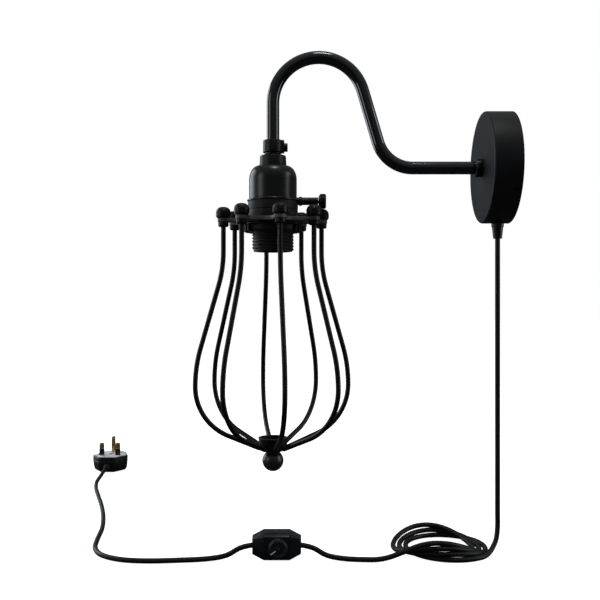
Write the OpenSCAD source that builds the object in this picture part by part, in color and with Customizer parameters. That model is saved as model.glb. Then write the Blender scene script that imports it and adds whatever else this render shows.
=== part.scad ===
// Plug-in swan neck wall sconce: wall rose, bent arm, keyed lampholder, wire cage,
// and a mains lead with an inline dimmer and a fused plug.
// The wall is the plane x = 0, the arm leaves along -x, z points up.
// The origin is the centre of the wall plate's back face. Millimetres.

/* [Rose] */
// Diameter of the wall rose
rose_d = 104; // [90:1:140]
// Distance from the wall to the rose's front face
rose_depth = 26; // [24:1:40]
// Sheet thickness of the rose
rose_wall = 1.2; // [0.8:0.1:1.6]
// Radius of the rose's front edge
rose_edge = 2; // [1:0.5:4]
// Spacing of the wall plate's two screw holes
plate_hole_spacing = 60; // [40:1:64]
// Diameter of the wall plate's screw holes
plate_hole_d = 5; // [4:0.5:6]
// Thickness of the wall plate
plate_t = 1.5; // [1:0.1:2.5]
// Diameter of the rose's grub screws
grub_d = 4; // [3:0.5:5]

/* [Arm] */
// Outside diameter of the arm tube
arm_d = 12; // [10:0.5:14]
// Wall thickness of the arm tube
arm_wall = 0.95; // [0.8:0.05:1.2]
// Distance from the wall to the lampholder's axis
arm_reach = 222; // [180:1:280]
// Bend radius of the arch at the tube's centre
arch_r = 43; // [34:1:54]
// Height of the arch's centre above the arm's root
arch_rise = 60.8; // [50:0.1:80]
// Lean of the straight stretch between the two bends
arm_lean = 16.5; // [10:0.5:22]
// Bend radius near the rose at the tube's centre
root_bend_r = 34; // [26:1:42]
// Diameter of the boss at the arm's root
boss_d = 17.4; // [15:0.1:20]
// Length of that boss
boss_len = 6; // [4:0.5:10]
// Half of the stop sector on the arm's stop washer
stop_half_angle = 79; // [60:1:84]

/* [Lampholder] */
// Height of the dome's flat top relative to the arm's root
holder_z = 1.3; // [-10:0.1:10]
// Diameter of the dome
dome_d = 44.8; // [40:0.2:52]
// Height of the dome
dome_h = 32.9; // [30:0.1:40]
// Sheet thickness of the dome
dome_wall = 1; // [0.8:0.1:1.4]
// Corner radius of the dome
dome_corner = 9; // [6:0.5:11]
// Diameter of the rolled bead between dome and skirt
bead_d = 48.4; // [46:0.2:56]
// Diameter of the skirt above the shade thread
skirt_d = 47; // [44:0.2:54]
// Height of the skirt above the shade thread
skirt_h = 16.3; // [14:0.1:24]
// Major diameter of the shade thread
thread_d = 39.6; // [38:0.1:42]
// Length of the shade thread and its lip below the skirt's shoulder
thread_len = 30.6; // [28:0.1:40]
// Pitch of the shade thread
thread_pitch = 3; // [2:0.5:4]
// Inside radius of the lamp cap's screw shell
shell_r = 13.4; // [13.2:0.05:13.6]
// Length of the screw shell
shell_len = 24; // [20:1:26]
// Travel of the centre contact
contact_travel = 2; // [1:0.5:2.5]
// Height of the neck ring on top of the dome
neck_h = 10; // [8:0.5:14]
// Height of the clamp collar on the tube
collar_h = 13; // [10:0.5:16]
// Diameter of the clamp collar
collar_d = 18.8; // [17:0.1:22]
// Diameter of the key switch's barrel
barrel_d = 7.2; // [6.4:0.1:8]
// Distance from the lampholder's axis to the end of that barrel
barrel_reach = 42.4; // [38:0.1:52]
// Diameter of the key knob
key_d = 13.6; // [11:0.1:14]
// Thickness of the key knob
key_t = 7; // [5:0.5:9]

/* [Cage] */
// Number of cage wires
wires = 8; // [8]
// Diameter of a cage wire
wire_d = 4.6; // [3.6:0.1:5.4]
// Radius at which the wires pass the cage plate
cage_neck_r = 46.5; // [44:0.5:56]
// Radius of the cage at its widest
cage_belly_r = 72.5; // [66:0.5:90]
// Lean of the wires' slanted stretch
flare_angle = 16; // [12:0.5:20]
// Bend radius under the neck
flare_r = 118; // [90:1:140]
// Bend radius above the belly
shoulder_r = 130; // [100:1:150]
// Bend radius below the belly
toe_r = 50.5; // [40:0.5:56]
// Angle through which the wires turn below the belly
toe_angle = 67; // [60:1:74]
// Straight length of wire below the cage plate
neck_drop = 26.9; // [20:0.1:50]
// Turn of the first wire from the -y direction
first_wire = 10; // [0:1:22]
// Thickness of the cage plate
cage_plate_t = 3.5; // [2:0.1:5]
// Radius of the cage plate between its lobes
scallop_r = 33; // [30:0.5:38]
// Diameter of the domed cap nuts
cap_d = 14; // [12:0.1:15.4]
// Height of the domed cap nuts
cap_h = 10.5; // [8:0.5:12]
// Largest diameter of the shade ring
ring_d = 56; // [52:0.5:62]
// Height of the shade ring
ring_h = 9.4; // [8:0.1:14]
// Diameter of the hub that gathers the wires
hub_d = 26.6; // [22:0.1:32]
// Height of that hub
hub_h = 12; // [9:0.5:16]
// Diameter of the ball finial
ball_d = 20; // [16:0.5:26]

/* [Mains lead] */
// Diameter of the cord
cord_d = 4.8; // [4.4:0.1:5.2]
// Diameter of the gland at the rose
gland_d = 11.5; // [10:0.1:13]
// Diameter of the gland's lower end
gland_tip_d = 8.2; // [7.4:0.1:9]
// Length of the gland below the rose
gland_len = 14.3; // [10:0.1:20]
// Distance from the wall to the gland's axis
gland_x = 11; // [9:0.5:14]

/* [Dimmer] */
// Length of the dimmer
dimmer_l = 45; // [40:1:60]
// Width of the dimmer
dimmer_w = 26; // [24:1:34]
// Depth of the dimmer's back shell
dimmer_base_t = 8; // [7:0.5:12]
// Depth of the dimmer's front shell
dimmer_lid_t = 9; // [7:0.5:12]
// Wall thickness of the dimmer's shells
dimmer_wall = 1.6; // [1.2:0.1:2]
// Diameter of the dimmer's knob
dimmer_knob_d = 18; // [14:0.5:20]

/* [Plug] */
// Wall thickness of the plug's shells
plug_wall = 2; // [1.5:0.1:2.5]
// Thickness of the plug's back cover
plug_cover_t = 15; // [13:0.5:20]
// Thickness of the plug's pin carrier
plug_base_t = 6; // [5:0.5:8]
// Pin spacing, both across and down to the earth pin
pin_pitch = 22.2; // [22.2]

/* [Clearances] */
// Radial clearance of a part that turns or slides in a bore
running = 0.05; // [0.02:0.01:0.1]
// Gap between faces of parts that move past each other
gap = 0.4; // [0.3:0.05:0.8]
// Gap between fitted parts that do not move
seat = 0.1; // [0.05:0.05:0.2]

/* [Hidden] */
$fn = 64;

// Colours
black_satin = [0.09, 0.09, 0.10];
black_gloss = [0.04, 0.04, 0.05];
bronze_black = [0.10, 0.07, 0.06];
steel = [0.70, 0.71, 0.73];
brass = [0.78, 0.62, 0.30];
porcelain = [0.90, 0.89, 0.86];
plastic_black = [0.07, 0.07, 0.08];
card_white = [0.90, 0.90, 0.91];

// Joints of a bent bar
seam_len = 0.4;
seam_lip = 0.02;

// Rose
rose_r = rose_d / 2;
tab_outer_r = rose_r - rose_wall - 0.6;
tab_t = 5;
tab_set_in = 0.4;
tab_half_angle = 7;
tab_len = 9;
grub_x = 5;
tab_turns = [0, 120, 240];

// Arm root: a nipple turns in a bush and is held by a washer and a nut
arm_r = arm_d / 2;
arm_bore_r = arm_r - arm_wall;
nipple_r = arm_bore_r - seat;
nipple_bore_r = nipple_r - 1.3;
bush_flange_t = 2;
bush_flange_r = nipple_r + 5;
bush_back_x = rose_depth - rose_wall - bush_flange_t;
washer_t = 2;
washer_front_x = bush_back_x - gap;
washer_back_x = washer_front_x - washer_t;
nut_t = 5;
nut_flats = 14;
nut_r = nut_flats / 2 / cos(30);
arm_nut_x = washer_back_x - nut_t;
stop_pin_r = 1.5;
stop_pin_ring = bush_flange_r + 2.5;
arm_root_x = rose_depth + gap;

// Arm centre line in the x-z plane
arch_c = [-arm_reach + arch_r, arch_rise];
arch_end = arch_c + arch_r * [cos(arm_lean), sin(arm_lean)];
corner_x = arch_end[0] + arch_end[1] * tan(arm_lean);
corner_len = root_bend_r * tan((90 - arm_lean) / 2);
root_len = -corner_x - corner_len - arm_root_x;
rise_len = arch_end[1] / cos(arm_lean) - corner_len;

// Lampholder levels, going down
tube_end_z = holder_z + gap;
leg_len = arch_rise - tube_end_z;
neck_top = holder_z + neck_h;
collar_bottom = neck_top + 1.4;
dome_r = dome_d / 2;
dome_bottom = holder_z - dome_h;
bead_h = 1.6;
skirt_top = dome_bottom - seat;
thread_r = thread_d / 2;
skirt_r = max(skirt_d / 2, thread_r + 2.4);
shoulder_z = skirt_top - skirt_h;
thread_depth = 1;
thread_bottom = shoulder_z - thread_len;
skirt_wall = 1.3;
thread_bore_r = thread_r - thread_depth - skirt_wall;
insert_r = thread_bore_r - seat;
insert_top = skirt_top - 4.4;
insert_bottom = thread_bottom + 2;
shell_wall = 0.5;
shell_bottom = thread_bottom + 4.4;
shell_top = shell_bottom + shell_len;
contact_head_r = 4;
contact_head_t = 1.5;
contact_stem_r = 2;
contact_face_z = shell_top + 1.2;
socket_top = contact_face_z + 0.8;
contact_stem_top = contact_face_z + 8.2;
pocket_top = contact_face_z + contact_head_t + contact_travel + 1;
holder_nut_top = holder_z - dome_wall - gap;

// Key switch
key_z = dome_bottom + 0.3;
barrel_r = barrel_d / 2;
key_shaft_r = 2;
key_shaft_in = 9;
key_rotor_r = 3.6;

// Clamp screw on the collar
lug_reach = collar_d / 2 + 1.2;
clamp_screw_r = 2;
clamp_head_r = 4;
clamp_head_t = 3.2;

// Cage levels and wire path, in a plane through the lampholder's axis
wire_r = wire_d / 2;
cage_plate_top = shoulder_z - seat;
cage_plate_bottom = cage_plate_top - cage_plate_t;
lobe_r = wire_r + 3.1;
hollow_at = (scallop_r - lobe_r + 0.4) / (1 - sin(180 / wires));
ring_top = cage_plate_bottom - seat;
ring_bottom = ring_top - ring_h;
wire_top = cage_plate_top + cap_h * 0.7;
flare_z = cage_plate_bottom - neck_drop;
flare_end = [cage_neck_r + flare_r * (1 - cos(flare_angle)), flare_z - flare_r * sin(flare_angle)];
shoulder_start_r = cage_belly_r - shoulder_r * (1 - cos(flare_angle));
slant_len = (shoulder_start_r - flare_end[0]) / sin(flare_angle);
belly_z = flare_end[1] - slant_len * cos(flare_angle) - shoulder_r * sin(flare_angle);
toe_end = [cage_belly_r - toe_r * (1 - cos(toe_angle)), belly_z - toe_r * sin(toe_angle)];
hub_r = hub_d / 2;
hub_entry_r = hub_r - 0.8;
toe_len = (toe_end[0] - hub_entry_r) / sin(toe_angle);
hub_bottom = toe_end[1] - toe_len * cos(toe_angle) - wire_r + 0.4;
hub_wall = 2.4;
hub_floor = 4;
ball_r = ball_d / 2;
ball_neck_t = 1.2;
ball_z = hub_bottom - ball_neck_t - ball_r + 1.4;
collar_ring_h = 4.5;
collar_ring_r = wire_r + 2.6;

// Mains lead. The floor it lies on goes down with a deeper cage. Routes on the floor are
// given by their height above it
under_ball = 12;
floor_z = min(-362, ball_z - ball_r - dimmer_w - under_ball);
cord_r = cord_d / 2;
gland_end_z = -rose_r - 0.05 - gland_len;
cord_sides = 10;
ring_step = 14;
function above_floor(route) = [for (p = route) [p[0], p[1], floor_z + p[2]]];
drop_route = concat(
    [[-gland_x, 0, gland_end_z], [-11, 0, -120], [-11, 0, -180], [-11, 0, -240], [-11, 0, -300]],
    above_floor([[-11, 0, 37], [-11, 0, 25], [-13, -2, 13.5], [-19, -8, 5.5],
        [-26.5, -15.5, cord_r]]));
lead_route = above_floor([
    [-88, -27, 15.5], [-95, -27, 13], [-105, -27, 9], [-115, -27, 5.2],
    [-125, -26.5, 3], [-136, -25.5, cord_r], [-155, -23, cord_r], [-172, -20, 4.5],
    [-184, -18, 10.5], [-195.5, -17, 13]]);
tail_route = above_floor([
    [-240.5, -17, 13], [-252, -18, 10.5], [-264, -20, 4.5], [-281, -23, cord_r],
    [-305, -27, cord_r], [-335, -29, cord_r], [-360, -25, cord_r], [-380, -12, cord_r],
    [-391, 8, cord_r], [-396, 35, cord_r], [-401, 75, cord_r], [-411, 120, cord_r],
    [-424, 165, cord_r], [-439, 210, cord_r], [-452, 250, cord_r], [-460, 285, cord_r],
    [-462, 315, 4], [-462, 330, 6.5], [-462, 342, 7.5]]);
coil_c = [-64, 12];
coil_r = 46;
coil_hole_r = 29;
coil_h = 20;

// Dimmer, standing on its long edge with its face towards -y
dimmer_x = -218;
dimmer_back_y = -8.5;
dimmer_cut_x = dimmer_l * 0.235;
dimmer_cut_y = dimmer_w * 0.215;
dimmer_rim_t = dimmer_base_t + 0.49 * dimmer_lid_t;
dimmer_flat = [dimmer_l - 21.8, dimmer_w - 6.4];
dimmer_t = dimmer_base_t + dimmer_lid_t;
dimmer_stem_r = 3;
dimmer_entry_t = 8.5;
dimmer_knob_t = 5.5;
dimmer_knob_c = [1.5, 0];

// Plug, lying on its back with its pins up and its cord entry towards -y
plug_c = [-462, 373];
plug_entry_z = 7.5;
grommet_len = 7;
earth_y = 13.5;
line_y = earth_y - pin_pitch;
plug_t = plug_cover_t + plug_base_t;
card_t = 0.6;

// ---- helpers ----

// A bent round bar is a chain of straight stretches and bends: each continues where the one
// before it ends, and a seam of seam_lip more radius closes the joint between them.
module seam(r) {
    translate([0, 0, -seam_len / 2]) cylinder(r = r + seam_lip, h = seam_len);
}

// A straight stretch along local z
module straight(len, r) {
    cylinder(r = r, h = len);
    if ($children > 0) translate([0, 0, len]) {
        seam(r);
        children();
    }
}

// A bend from local z towards local +x, or towards -x when the angle is negative
module turn(angle, bend_r, r) {
    s = sign(angle);
    start = angle > 0 ? 180 - angle : 0;
    translate([s * bend_r, 0, 0]) {
        rotate([90, 0, 0]) rotate([0, 0, start])
            rotate_extrude(angle = abs(angle)) translate([bend_r, 0]) circle(r = r);
        if ($children > 0) rotate([0, angle, 0]) translate([-s * bend_r, 0, 0]) {
            seam(r);
            children();
        }
    }
}

// Local z points away from the wall, local x points up
module on_wall() {
    rotate([0, -90, 0]) children();
}

module at_holder() {
    translate([-arm_reach, 0, 0]) children();
}

// A turned ring about z
module ring(outer, inner, bottom, top) {
    translate([0, 0, bottom]) difference() {
        cylinder(r = outer, h = top - bottom);
        translate([0, 0, -1]) cylinder(r = inner, h = top - bottom + 2);
    }
}

module hex(r, bottom, top) {
    translate([0, 0, bottom]) cylinder(r = r, h = top - bottom, $fn = 6);
}

// Half section of a disc whose upper outer edge is rounded
module rounded_section(r, bottom, top, edge) {
    translate([0, bottom]) {
        square([r - edge, top - bottom]);
        square([r, top - bottom - edge]);
        translate([r - edge, top - bottom - edge]) intersection() {
            circle(r = edge);
            square(edge);
        }
    }
}

// A smooth curve through a route's points, and its rings
function unit(v) = v / norm(v);
function mix(p, i, t) =
    let (a = p[max(i - 1, 0)], b = p[i], c = p[i + 1], d = p[min(i + 2, len(p) - 1)],
         tb = (c - a) / 2, tc = (d - b) / 2)
    (2*t*t*t - 3*t*t + 1) * b + (t*t*t - 2*t*t + t) * tb + (3*t*t - 2*t*t*t) * c + (t*t*t - t*t) * tc;
function curve(p) = concat(
    [for (i = [0 : len(p) - 2])
        let (n = max(1, round(norm(p[i + 1] - p[i]) / ring_step)))
        for (j = [0 : n - 1]) mix(p, i, j / n)],
    [p[len(p) - 1]]);
function tangent(p, i) = unit(p[min(i + 1, len(p) - 1)] - p[max(i - 1, 0)]);
function side(t) = unit(cross(t, abs(t[0]) > 0.9 ? [0, 1, 0] : [1, 0, 0]));

module tube(points, r, sides) {
    n = len(points);
    rings = [for (i = [0 : n - 1])
        let (t = tangent(points, i), u = side(t), v = cross(t, u))
        for (k = [0 : sides - 1])
            points[i] + r * (cos(360 * k / sides) * u + sin(360 * k / sides) * v)];
    walls = [for (i = [0 : n - 2], k = [0 : sides - 1])
        let (a = i * sides + k, b = i * sides + (k + 1) % sides) [a, b, b + sides, a + sides]];
    polyhedron(rings, concat([[for (k = [sides - 1 : -1 : 0]) k]], walls,
                             [[for (k = [0 : sides - 1]) (n - 1) * sides + k]]), 10);
}

// ---- rose ----

module wall_plate() color(steel) on_wall() difference() {
    union() {
        cylinder(r = tab_outer_r, h = plate_t);
        for (a = tab_turns) rotate([0, 0, a - tab_half_angle])
            rotate_extrude(angle = 2 * tab_half_angle)
                translate([tab_outer_r - tab_t, 0]) square([tab_t - tab_set_in, tab_len]);
    }
    for (s = [-1, 1]) translate([0, s * plate_hole_spacing / 2, -1])
        cylinder(r = plate_hole_d / 2, h = plate_t + 2);
    for (a = tab_turns) rotate([0, 0, a]) translate([0, 0, grub_x]) rotate([0, 90, 0])
        cylinder(r = grub_d / 2 + running, h = rose_r);
}

module rose_cup() color(black_satin) difference() {
    on_wall() difference() {
        rotate_extrude() rounded_section(rose_r, 0, rose_depth, rose_edge);
        translate([0, 0, -1])
            cylinder(r = rose_r - rose_wall, h = rose_depth - rose_wall + 1);
        cylinder(r = nipple_r + 2 + seat, h = rose_depth + 1);
        for (a = tab_turns) rotate([0, 0, a]) translate([0, 0, grub_x]) rotate([0, 90, 0])
            cylinder(r = grub_d / 2 + 0.2, h = rose_r + 1);
    }
    translate([-gland_x, 0, -rose_r - 1]) cylinder(r = gland_d / 2 - 1.6, h = 10);
}

module rose_screws() color(steel) on_wall() for (a = tab_turns) rotate([0, 0, a])
    translate([tab_outer_r - tab_t + 0.5, 0, grub_x]) rotate([0, 90, 0]) difference() {
        cylinder(r = grub_d / 2, h = rose_r - tab_outer_r + tab_t - 0.6);
        translate([0, 0, rose_r - tab_outer_r + tab_t - 2.6]) cylinder(r = 1.15, h = 3, $fn = 6);
    }

module rose_bush() color(brass) on_wall() difference() {
    union() {
        ring(nipple_r + 2, 0.5, rose_depth - rose_wall, rose_depth);
        ring(bush_flange_r, 0.5, bush_back_x, rose_depth - rose_wall);
    }
    cylinder(r = nipple_r + running, h = rose_depth + 1);
}

module stop_pin() color(steel) on_wall()
    translate([-stop_pin_ring, 0, washer_back_x - 1])
        cylinder(r = stop_pin_r, h = rose_depth - rose_wall - washer_back_x + 1);

module terminal_block() color(porcelain) difference() {
    translate([-plate_t - 12, -13, -36]) cube([12 - seat, 26, 13]);
    for (y = [-8.5, 0, 8.5]) {
        translate([-plate_t - 5, y, -37]) cylinder(r = 1.8, h = 15);
        translate([-plate_t - 13, y, -29.5]) rotate([0, 90, 0]) cylinder(r = 2, h = 7);
    }
}

module cable_gland() color(plastic_black) translate([-gland_x, 0, 0]) difference() {
    union() {
        translate([0, 0, -rose_r - 0.05]) cylinder(r = gland_d / 2 - 1.75, h = 7);
        translate([0, 0, gland_end_z])
            cylinder(r1 = gland_tip_d / 2, r2 = gland_d / 2, h = gland_len);
    }
    translate([0, 0, gland_end_z - 1]) cylinder(r = cord_r + running, h = gland_len + 10);
}

module gland_nut() color(steel) translate([-gland_x, 0, -rose_r + rose_wall + 0.7])
    difference() {
        hex(gland_d / 2 + 1.2, 0, 3);
        translate([0, 0, -1]) cylinder(r = gland_d / 2 - 1.65, h = 5);
    }

module supply_lead() color(plastic_black) {
    translate([-gland_x, 0, gland_end_z]) cylinder(r = cord_r, h = rose_r + gland_len - 41);
}

// ---- arm ----

// The arm's centre line from the rose to the lampholder, longer by extra at each end
module arm_path(r, start_extra, end_extra) {
    on_wall() translate([0, 0, arm_root_x - start_extra])
        straight(root_len + start_extra, r)
        turn(90 - arm_lean, root_bend_r, r)
        straight(rise_len, r)
        turn(arm_lean - 180, arch_r, r)
        straight(leg_len + end_extra, r);
}

module arm_tube() color(black_gloss) difference() {
    arm_path(arm_r, 0, 0);
    arm_path(arm_bore_r, 1, 1);
}

module arm_boss() color(black_gloss) on_wall() translate([0, 0, arm_root_x]) difference() {
    rotate_extrude() rounded_section(boss_d / 2, 0, boss_len, 2);
    translate([0, 0, -1]) cylinder(r = arm_r + running, h = boss_len + 2);
}

module arm_nipple() color(brass) on_wall()
    ring(nipple_r, nipple_bore_r, arm_nut_x - 2, arm_root_x + 20);

module stop_washer() color(steel) on_wall() difference() {
    union() {
        ring(stop_pin_ring - stop_pin_r - 1.5, 1, washer_back_x, washer_front_x);
        translate([0, 0, washer_back_x]) rotate([0, 0, -stop_half_angle])
            rotate_extrude(angle = 2 * stop_half_angle) translate([2, 0])
                square([stop_pin_ring + stop_pin_r - 1, washer_t]);
    }
    cylinder(r = nipple_r + running, h = rose_depth);
}

module arm_nut() color(brass) on_wall() difference() {
    hex(nut_r, arm_nut_x, washer_back_x - 0.02);
    cylinder(r = nipple_r + running, h = rose_depth);
}

module arm_flex() color(card_white)
    arm_path(nipple_bore_r - 0.8, arm_root_x - arm_nut_x, tube_end_z - holder_nut_top + nut_t + 4);

module clamp_collar() color(black_satin) at_holder() translate([0, 0, collar_bottom])
    difference() {
        union() {
            cylinder(r = collar_d / 2, h = collar_h);
            translate([0, -5.5, 0]) cube([lug_reach, 11, collar_h]);
        }
        translate([0, 0, -1]) cylinder(r = arm_r + running, h = collar_h + 2);
        translate([0, 0, collar_h / 2]) rotate([0, 90, 0])
            cylinder(r = clamp_screw_r + running, h = lug_reach + 1);
    }

module collar_screw() color(steel) at_holder()
    translate([0, 0, collar_bottom + collar_h / 2]) rotate([0, 90, 0]) difference() {
        union() {
            translate([0, 0, arm_r + 0.02]) cylinder(r = clamp_screw_r, h = lug_reach - arm_r);
            translate([0, 0, lug_reach + 0.02]) cylinder(r = clamp_head_r, h = clamp_head_t);
        }
        translate([-clamp_head_r - 1, -0.5, lug_reach + clamp_head_t - 1.2])
            cube([2 * clamp_head_r + 2, 1, 2]);
    }

module holder_nipple() color(brass) at_holder()
    ring(nipple_r, nipple_bore_r, holder_nut_top - nut_t - 2, tube_end_z + 20);

module holder_nut() color(brass) at_holder() difference() {
    hex(nut_r, holder_nut_top - nut_t, holder_nut_top);
    translate([0, 0, holder_nut_top - nut_t - 1]) cylinder(r = nipple_r + running, h = nut_t + 2);
}

// ---- lampholder ----

module neck_ring() color(black_satin) at_holder() difference() {
    translate([0, 0, holder_z + 0.02]) cylinder(r1 = 12.8, r2 = 12.2, h = neck_h - 0.02);
    translate([0, 0, holder_z - 1]) cylinder(r = arm_r + running, h = neck_h + 2);
}

module holder_dome() color(black_gloss) at_holder() difference() {
    union() {
        rotate_extrude() rounded_section(dome_r, dome_bottom, holder_z, dome_corner);
        ring(bead_d / 2, 2, dome_bottom, dome_bottom + bead_h);
    }
    rotate_extrude() rounded_section(dome_r - dome_wall, dome_bottom - 1, holder_z - dome_wall,
                                     dome_corner - dome_wall);
    cylinder(r = nipple_r + running, h = 2 * neck_h, center = true);
    translate([0, 0, key_z]) rotate([0, 90, 0]) cylinder(r = barrel_r + seat, h = dome_r + 5);
}

module holder_skirt() color(black_satin) at_holder() difference() {
    union() {
        translate([0, 0, shoulder_z]) cylinder(r = skirt_r, h = skirt_h);
        translate([0, 0, thread_bottom])
            cylinder(r = thread_r - thread_depth, h = thread_len + 1);
        translate([0, 0, ring_bottom - 1])
            cylinder(r = thread_r, h = shoulder_z - ring_bottom + 2);
        for (z = [thread_bottom + 2.5 : thread_pitch : ring_bottom - 2]) translate([0, 0, z]) {
            cylinder(r1 = thread_r - thread_depth, r2 = thread_r, h = thread_pitch * 0.3);
            translate([0, 0, thread_pitch * 0.3])
                cylinder(r1 = thread_r, r2 = thread_r - thread_depth, h = thread_pitch * 0.3);
        }
    }
    translate([0, 0, thread_bottom - 1]) cylinder(r = thread_bore_r, h = thread_len + 20);
    translate([0, 0, insert_top - 5])
        cylinder(r = skirt_r - skirt_wall, h = skirt_top - insert_top + 6);
    translate([0, 0, key_z]) rotate([0, 90, 0]) cylinder(r = barrel_r + seat, h = skirt_r + 5);
}

module lamp_insert() color(porcelain) at_holder() difference() {
    union() {
        translate([0, 0, insert_bottom])
            cylinder(r = insert_r, h = insert_top - insert_bottom);
        translate([0, 0, insert_top - 4.9])
            cylinder(r = skirt_r - skirt_wall - seat, h = 4.9);
    }
    translate([0, 0, insert_bottom - 1])
        cylinder(r = shell_r + shell_wall + seat, h = socket_top - insert_bottom + 1);
    translate([0, 0, socket_top - 1])
        cylinder(r = contact_head_r + 1, h = pocket_top - socket_top + 1);
    cylinder(r = contact_stem_r + running, h = 200, center = true);
    for (s = [-1, 1]) translate([0, s * 11, insert_top - 4]) cylinder(r = 2, h = 5);
}

module screw_shell() color(brass) at_holder()
    ring(shell_r + shell_wall, shell_r, shell_bottom, shell_top);

module centre_contact() color(brass) at_holder() {
    translate([0, 0, contact_face_z]) cylinder(r = contact_head_r, h = contact_head_t);
    translate([0, 0, contact_face_z + contact_head_t - 0.1])
        cylinder(r = contact_stem_r, h = contact_stem_top - contact_face_z - contact_head_t);
}

module switch_barrel() color(black_satin) at_holder() translate([0, 0, key_z])
    rotate([0, 90, 0]) difference() {
        translate([0, 0, dome_r - 4]) cylinder(r = barrel_r, h = barrel_reach - dome_r + 4);
        cylinder(r = key_shaft_r + running, h = barrel_reach + 1);
    }

module key_shaft() color(brass) at_holder() translate([0, 0, key_z]) rotate([0, 90, 0]) {
    translate([0, 0, key_shaft_in]) cylinder(r = key_shaft_r, h = barrel_reach - key_shaft_in + 4);
    translate([0, 0, key_shaft_in]) intersection() {
        cylinder(r = key_rotor_r, h = 5);
        cube([2 * key_rotor_r, 4.4, 12], center = true);
    }
}

module key_knob() color(black_satin) at_holder()
    translate([barrel_reach + gap, 0, key_z]) rotate([0, 90, 0]) difference() {
        union() {
            cylinder(r = key_d / 2 - 0.5, h = key_t);
            for (k = [0 : 19]) rotate([0, 0, k * 18]) translate([key_d / 2 - 0.55, 0, 0.6])
                cylinder(r = 0.55, h = key_t - 1.2, $fn = 16);
        }
        translate([0, 0, -1]) cylinder(r = key_shaft_r + running, h = key_t - 1);
    }

// ---- cage ----

module cage_spots() {
    for (k = [0 : wires - 1]) rotate([0, 0, first_wire - 90 + k * 360 / wires])
        translate([cage_neck_r, 0, 0]) children();
}

module cage_plate() color(bronze_black) at_holder() difference() {
    union() {
        translate([0, 0, cage_plate_bottom])
            cylinder(r = hollow_at * cos(180 / wires) - 0.9, h = cage_plate_t);
        for (k = [0 : wires - 1]) rotate([0, 0, first_wire - 90 + k * 360 / wires])
            translate([0, -lobe_r, cage_plate_bottom]) cube([cage_neck_r, 2 * lobe_r, cage_plate_t]);
        cage_spots() translate([0, 0, cage_plate_bottom]) cylinder(r = lobe_r, h = cage_plate_t);
    }
    cage_spots() cylinder(r = wire_r + seat, h = 300, center = true);
    for (k = [0 : wires - 1]) rotate([0, 0, first_wire - 90 + (k + 0.5) * 360 / wires])
        translate([hollow_at, 0, 0]) cylinder(r = hollow_at - scallop_r, h = 300, center = true);
    cylinder(r = thread_r + 0.4, h = 300, center = true);
}

module cap_nuts() color(bronze_black) at_holder() cage_spots()
    translate([0, 0, cage_plate_top + 0.02]) difference() {
        rotate_extrude() rounded_section(cap_d / 2, 0, cap_h, 5.5);
        translate([0, 0, -1]) cylinder(r = wire_r + seat, h = cap_h * 0.7 + 1.3);
    }

module wire_collars() color(bronze_black) at_holder() cage_spots()
    ring(collar_ring_r, wire_r + seat, cage_plate_bottom - collar_ring_h,
         cage_plate_bottom - 0.02);

module shade_ring() color(black_satin) at_holder() difference() {
    union() {
        translate([0, 0, ring_top - 3]) cylinder(r = ring_d / 2, h = 3);
        translate([0, 0, ring_bottom + 1.4])
            cylinder(r1 = ring_d / 2 - 3.6, r2 = ring_d / 2 - 0.6, h = ring_h - 4.4);
        translate([0, 0, ring_bottom])
            cylinder(r1 = ring_d / 2 - 5, r2 = ring_d / 2 - 3.6, h = 1.4);
    }
    translate([0, 0, ring_bottom - 1]) cylinder(r = thread_r + seat, h = ring_h + 2);
}

module cage_wire(k) color(bronze_black) at_holder()
    rotate([0, 0, first_wire - 90 + (k - 1) * 360 / wires])
    translate([cage_neck_r, 0, wire_top]) rotate([0, 180, 0])
        straight(wire_top - flare_z, wire_r)
        turn(-flare_angle, flare_r, wire_r)
        straight(slant_len, wire_r)
        turn(flare_angle, shoulder_r, wire_r)
        turn(toe_angle, toe_r, wire_r)
        straight(toe_len, wire_r);

module cage_hub() color(bronze_black) at_holder() difference() {
    translate([0, 0, hub_bottom]) cylinder(r = hub_r, h = hub_h);
    translate([0, 0, hub_bottom + hub_floor]) cylinder(r = hub_r - hub_wall, h = hub_h);
    translate([0, 0, hub_bottom - 1]) cylinder(r = 3 + seat, h = hub_floor + 2);
}

module ball_finial() color(bronze_black) at_holder() {
    translate([0, 0, ball_z]) sphere(r = ball_r);
    translate([0, 0, ball_z]) cylinder(r = 3, h = hub_bottom + hub_floor + 1.5 - ball_z);
}

// ---- mains lead ----

module cord_drop() color(plastic_black) tube(curve(drop_route), cord_r, cord_sides);

module cord_coil() color(plastic_black) translate([coil_c[0], coil_c[1], floor_z])
    rotate_extrude() translate([coil_hole_r, 0]) square([coil_r - coil_hole_r, coil_h]);

module cord_lead() color(plastic_black) tube(curve(lead_route), cord_r, cord_sides);

module cord_tail() color(plastic_black) tube(curve(tail_route), cord_r, cord_sides);

// ---- dimmer ----

// Local z points out of the dimmer's face, local x along it
module at_dimmer() {
    translate([dimmer_x, dimmer_back_y, floor_z + dimmer_w / 2]) rotate([90, 0, 0]) children();
}

module dimmer_outline(inset) {
    hl = dimmer_l / 2 - inset;
    hw = dimmer_w / 2 - inset;
    cx = dimmer_cut_x;
    cy = dimmer_cut_y;
    polygon([[hl, hw - cy], [hl - cx, hw], [cx - hl, hw], [-hl, hw - cy],
             [-hl, cy - hw], [cx - hl, -hw], [hl - cx, -hw], [hl, cy - hw]]);
}

module dimmer_entries(r) {
    translate([0, 0, dimmer_entry_t]) rotate([0, 90, 0])
        cylinder(r = r, h = dimmer_l + 2, center = true);
}

module dimmer_screw_spots() {
    for (s = [-1, 1]) translate([s * (dimmer_l / 2 - 7), -s * (dimmer_w / 2 - 7.5), 0]) children();
}

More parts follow.
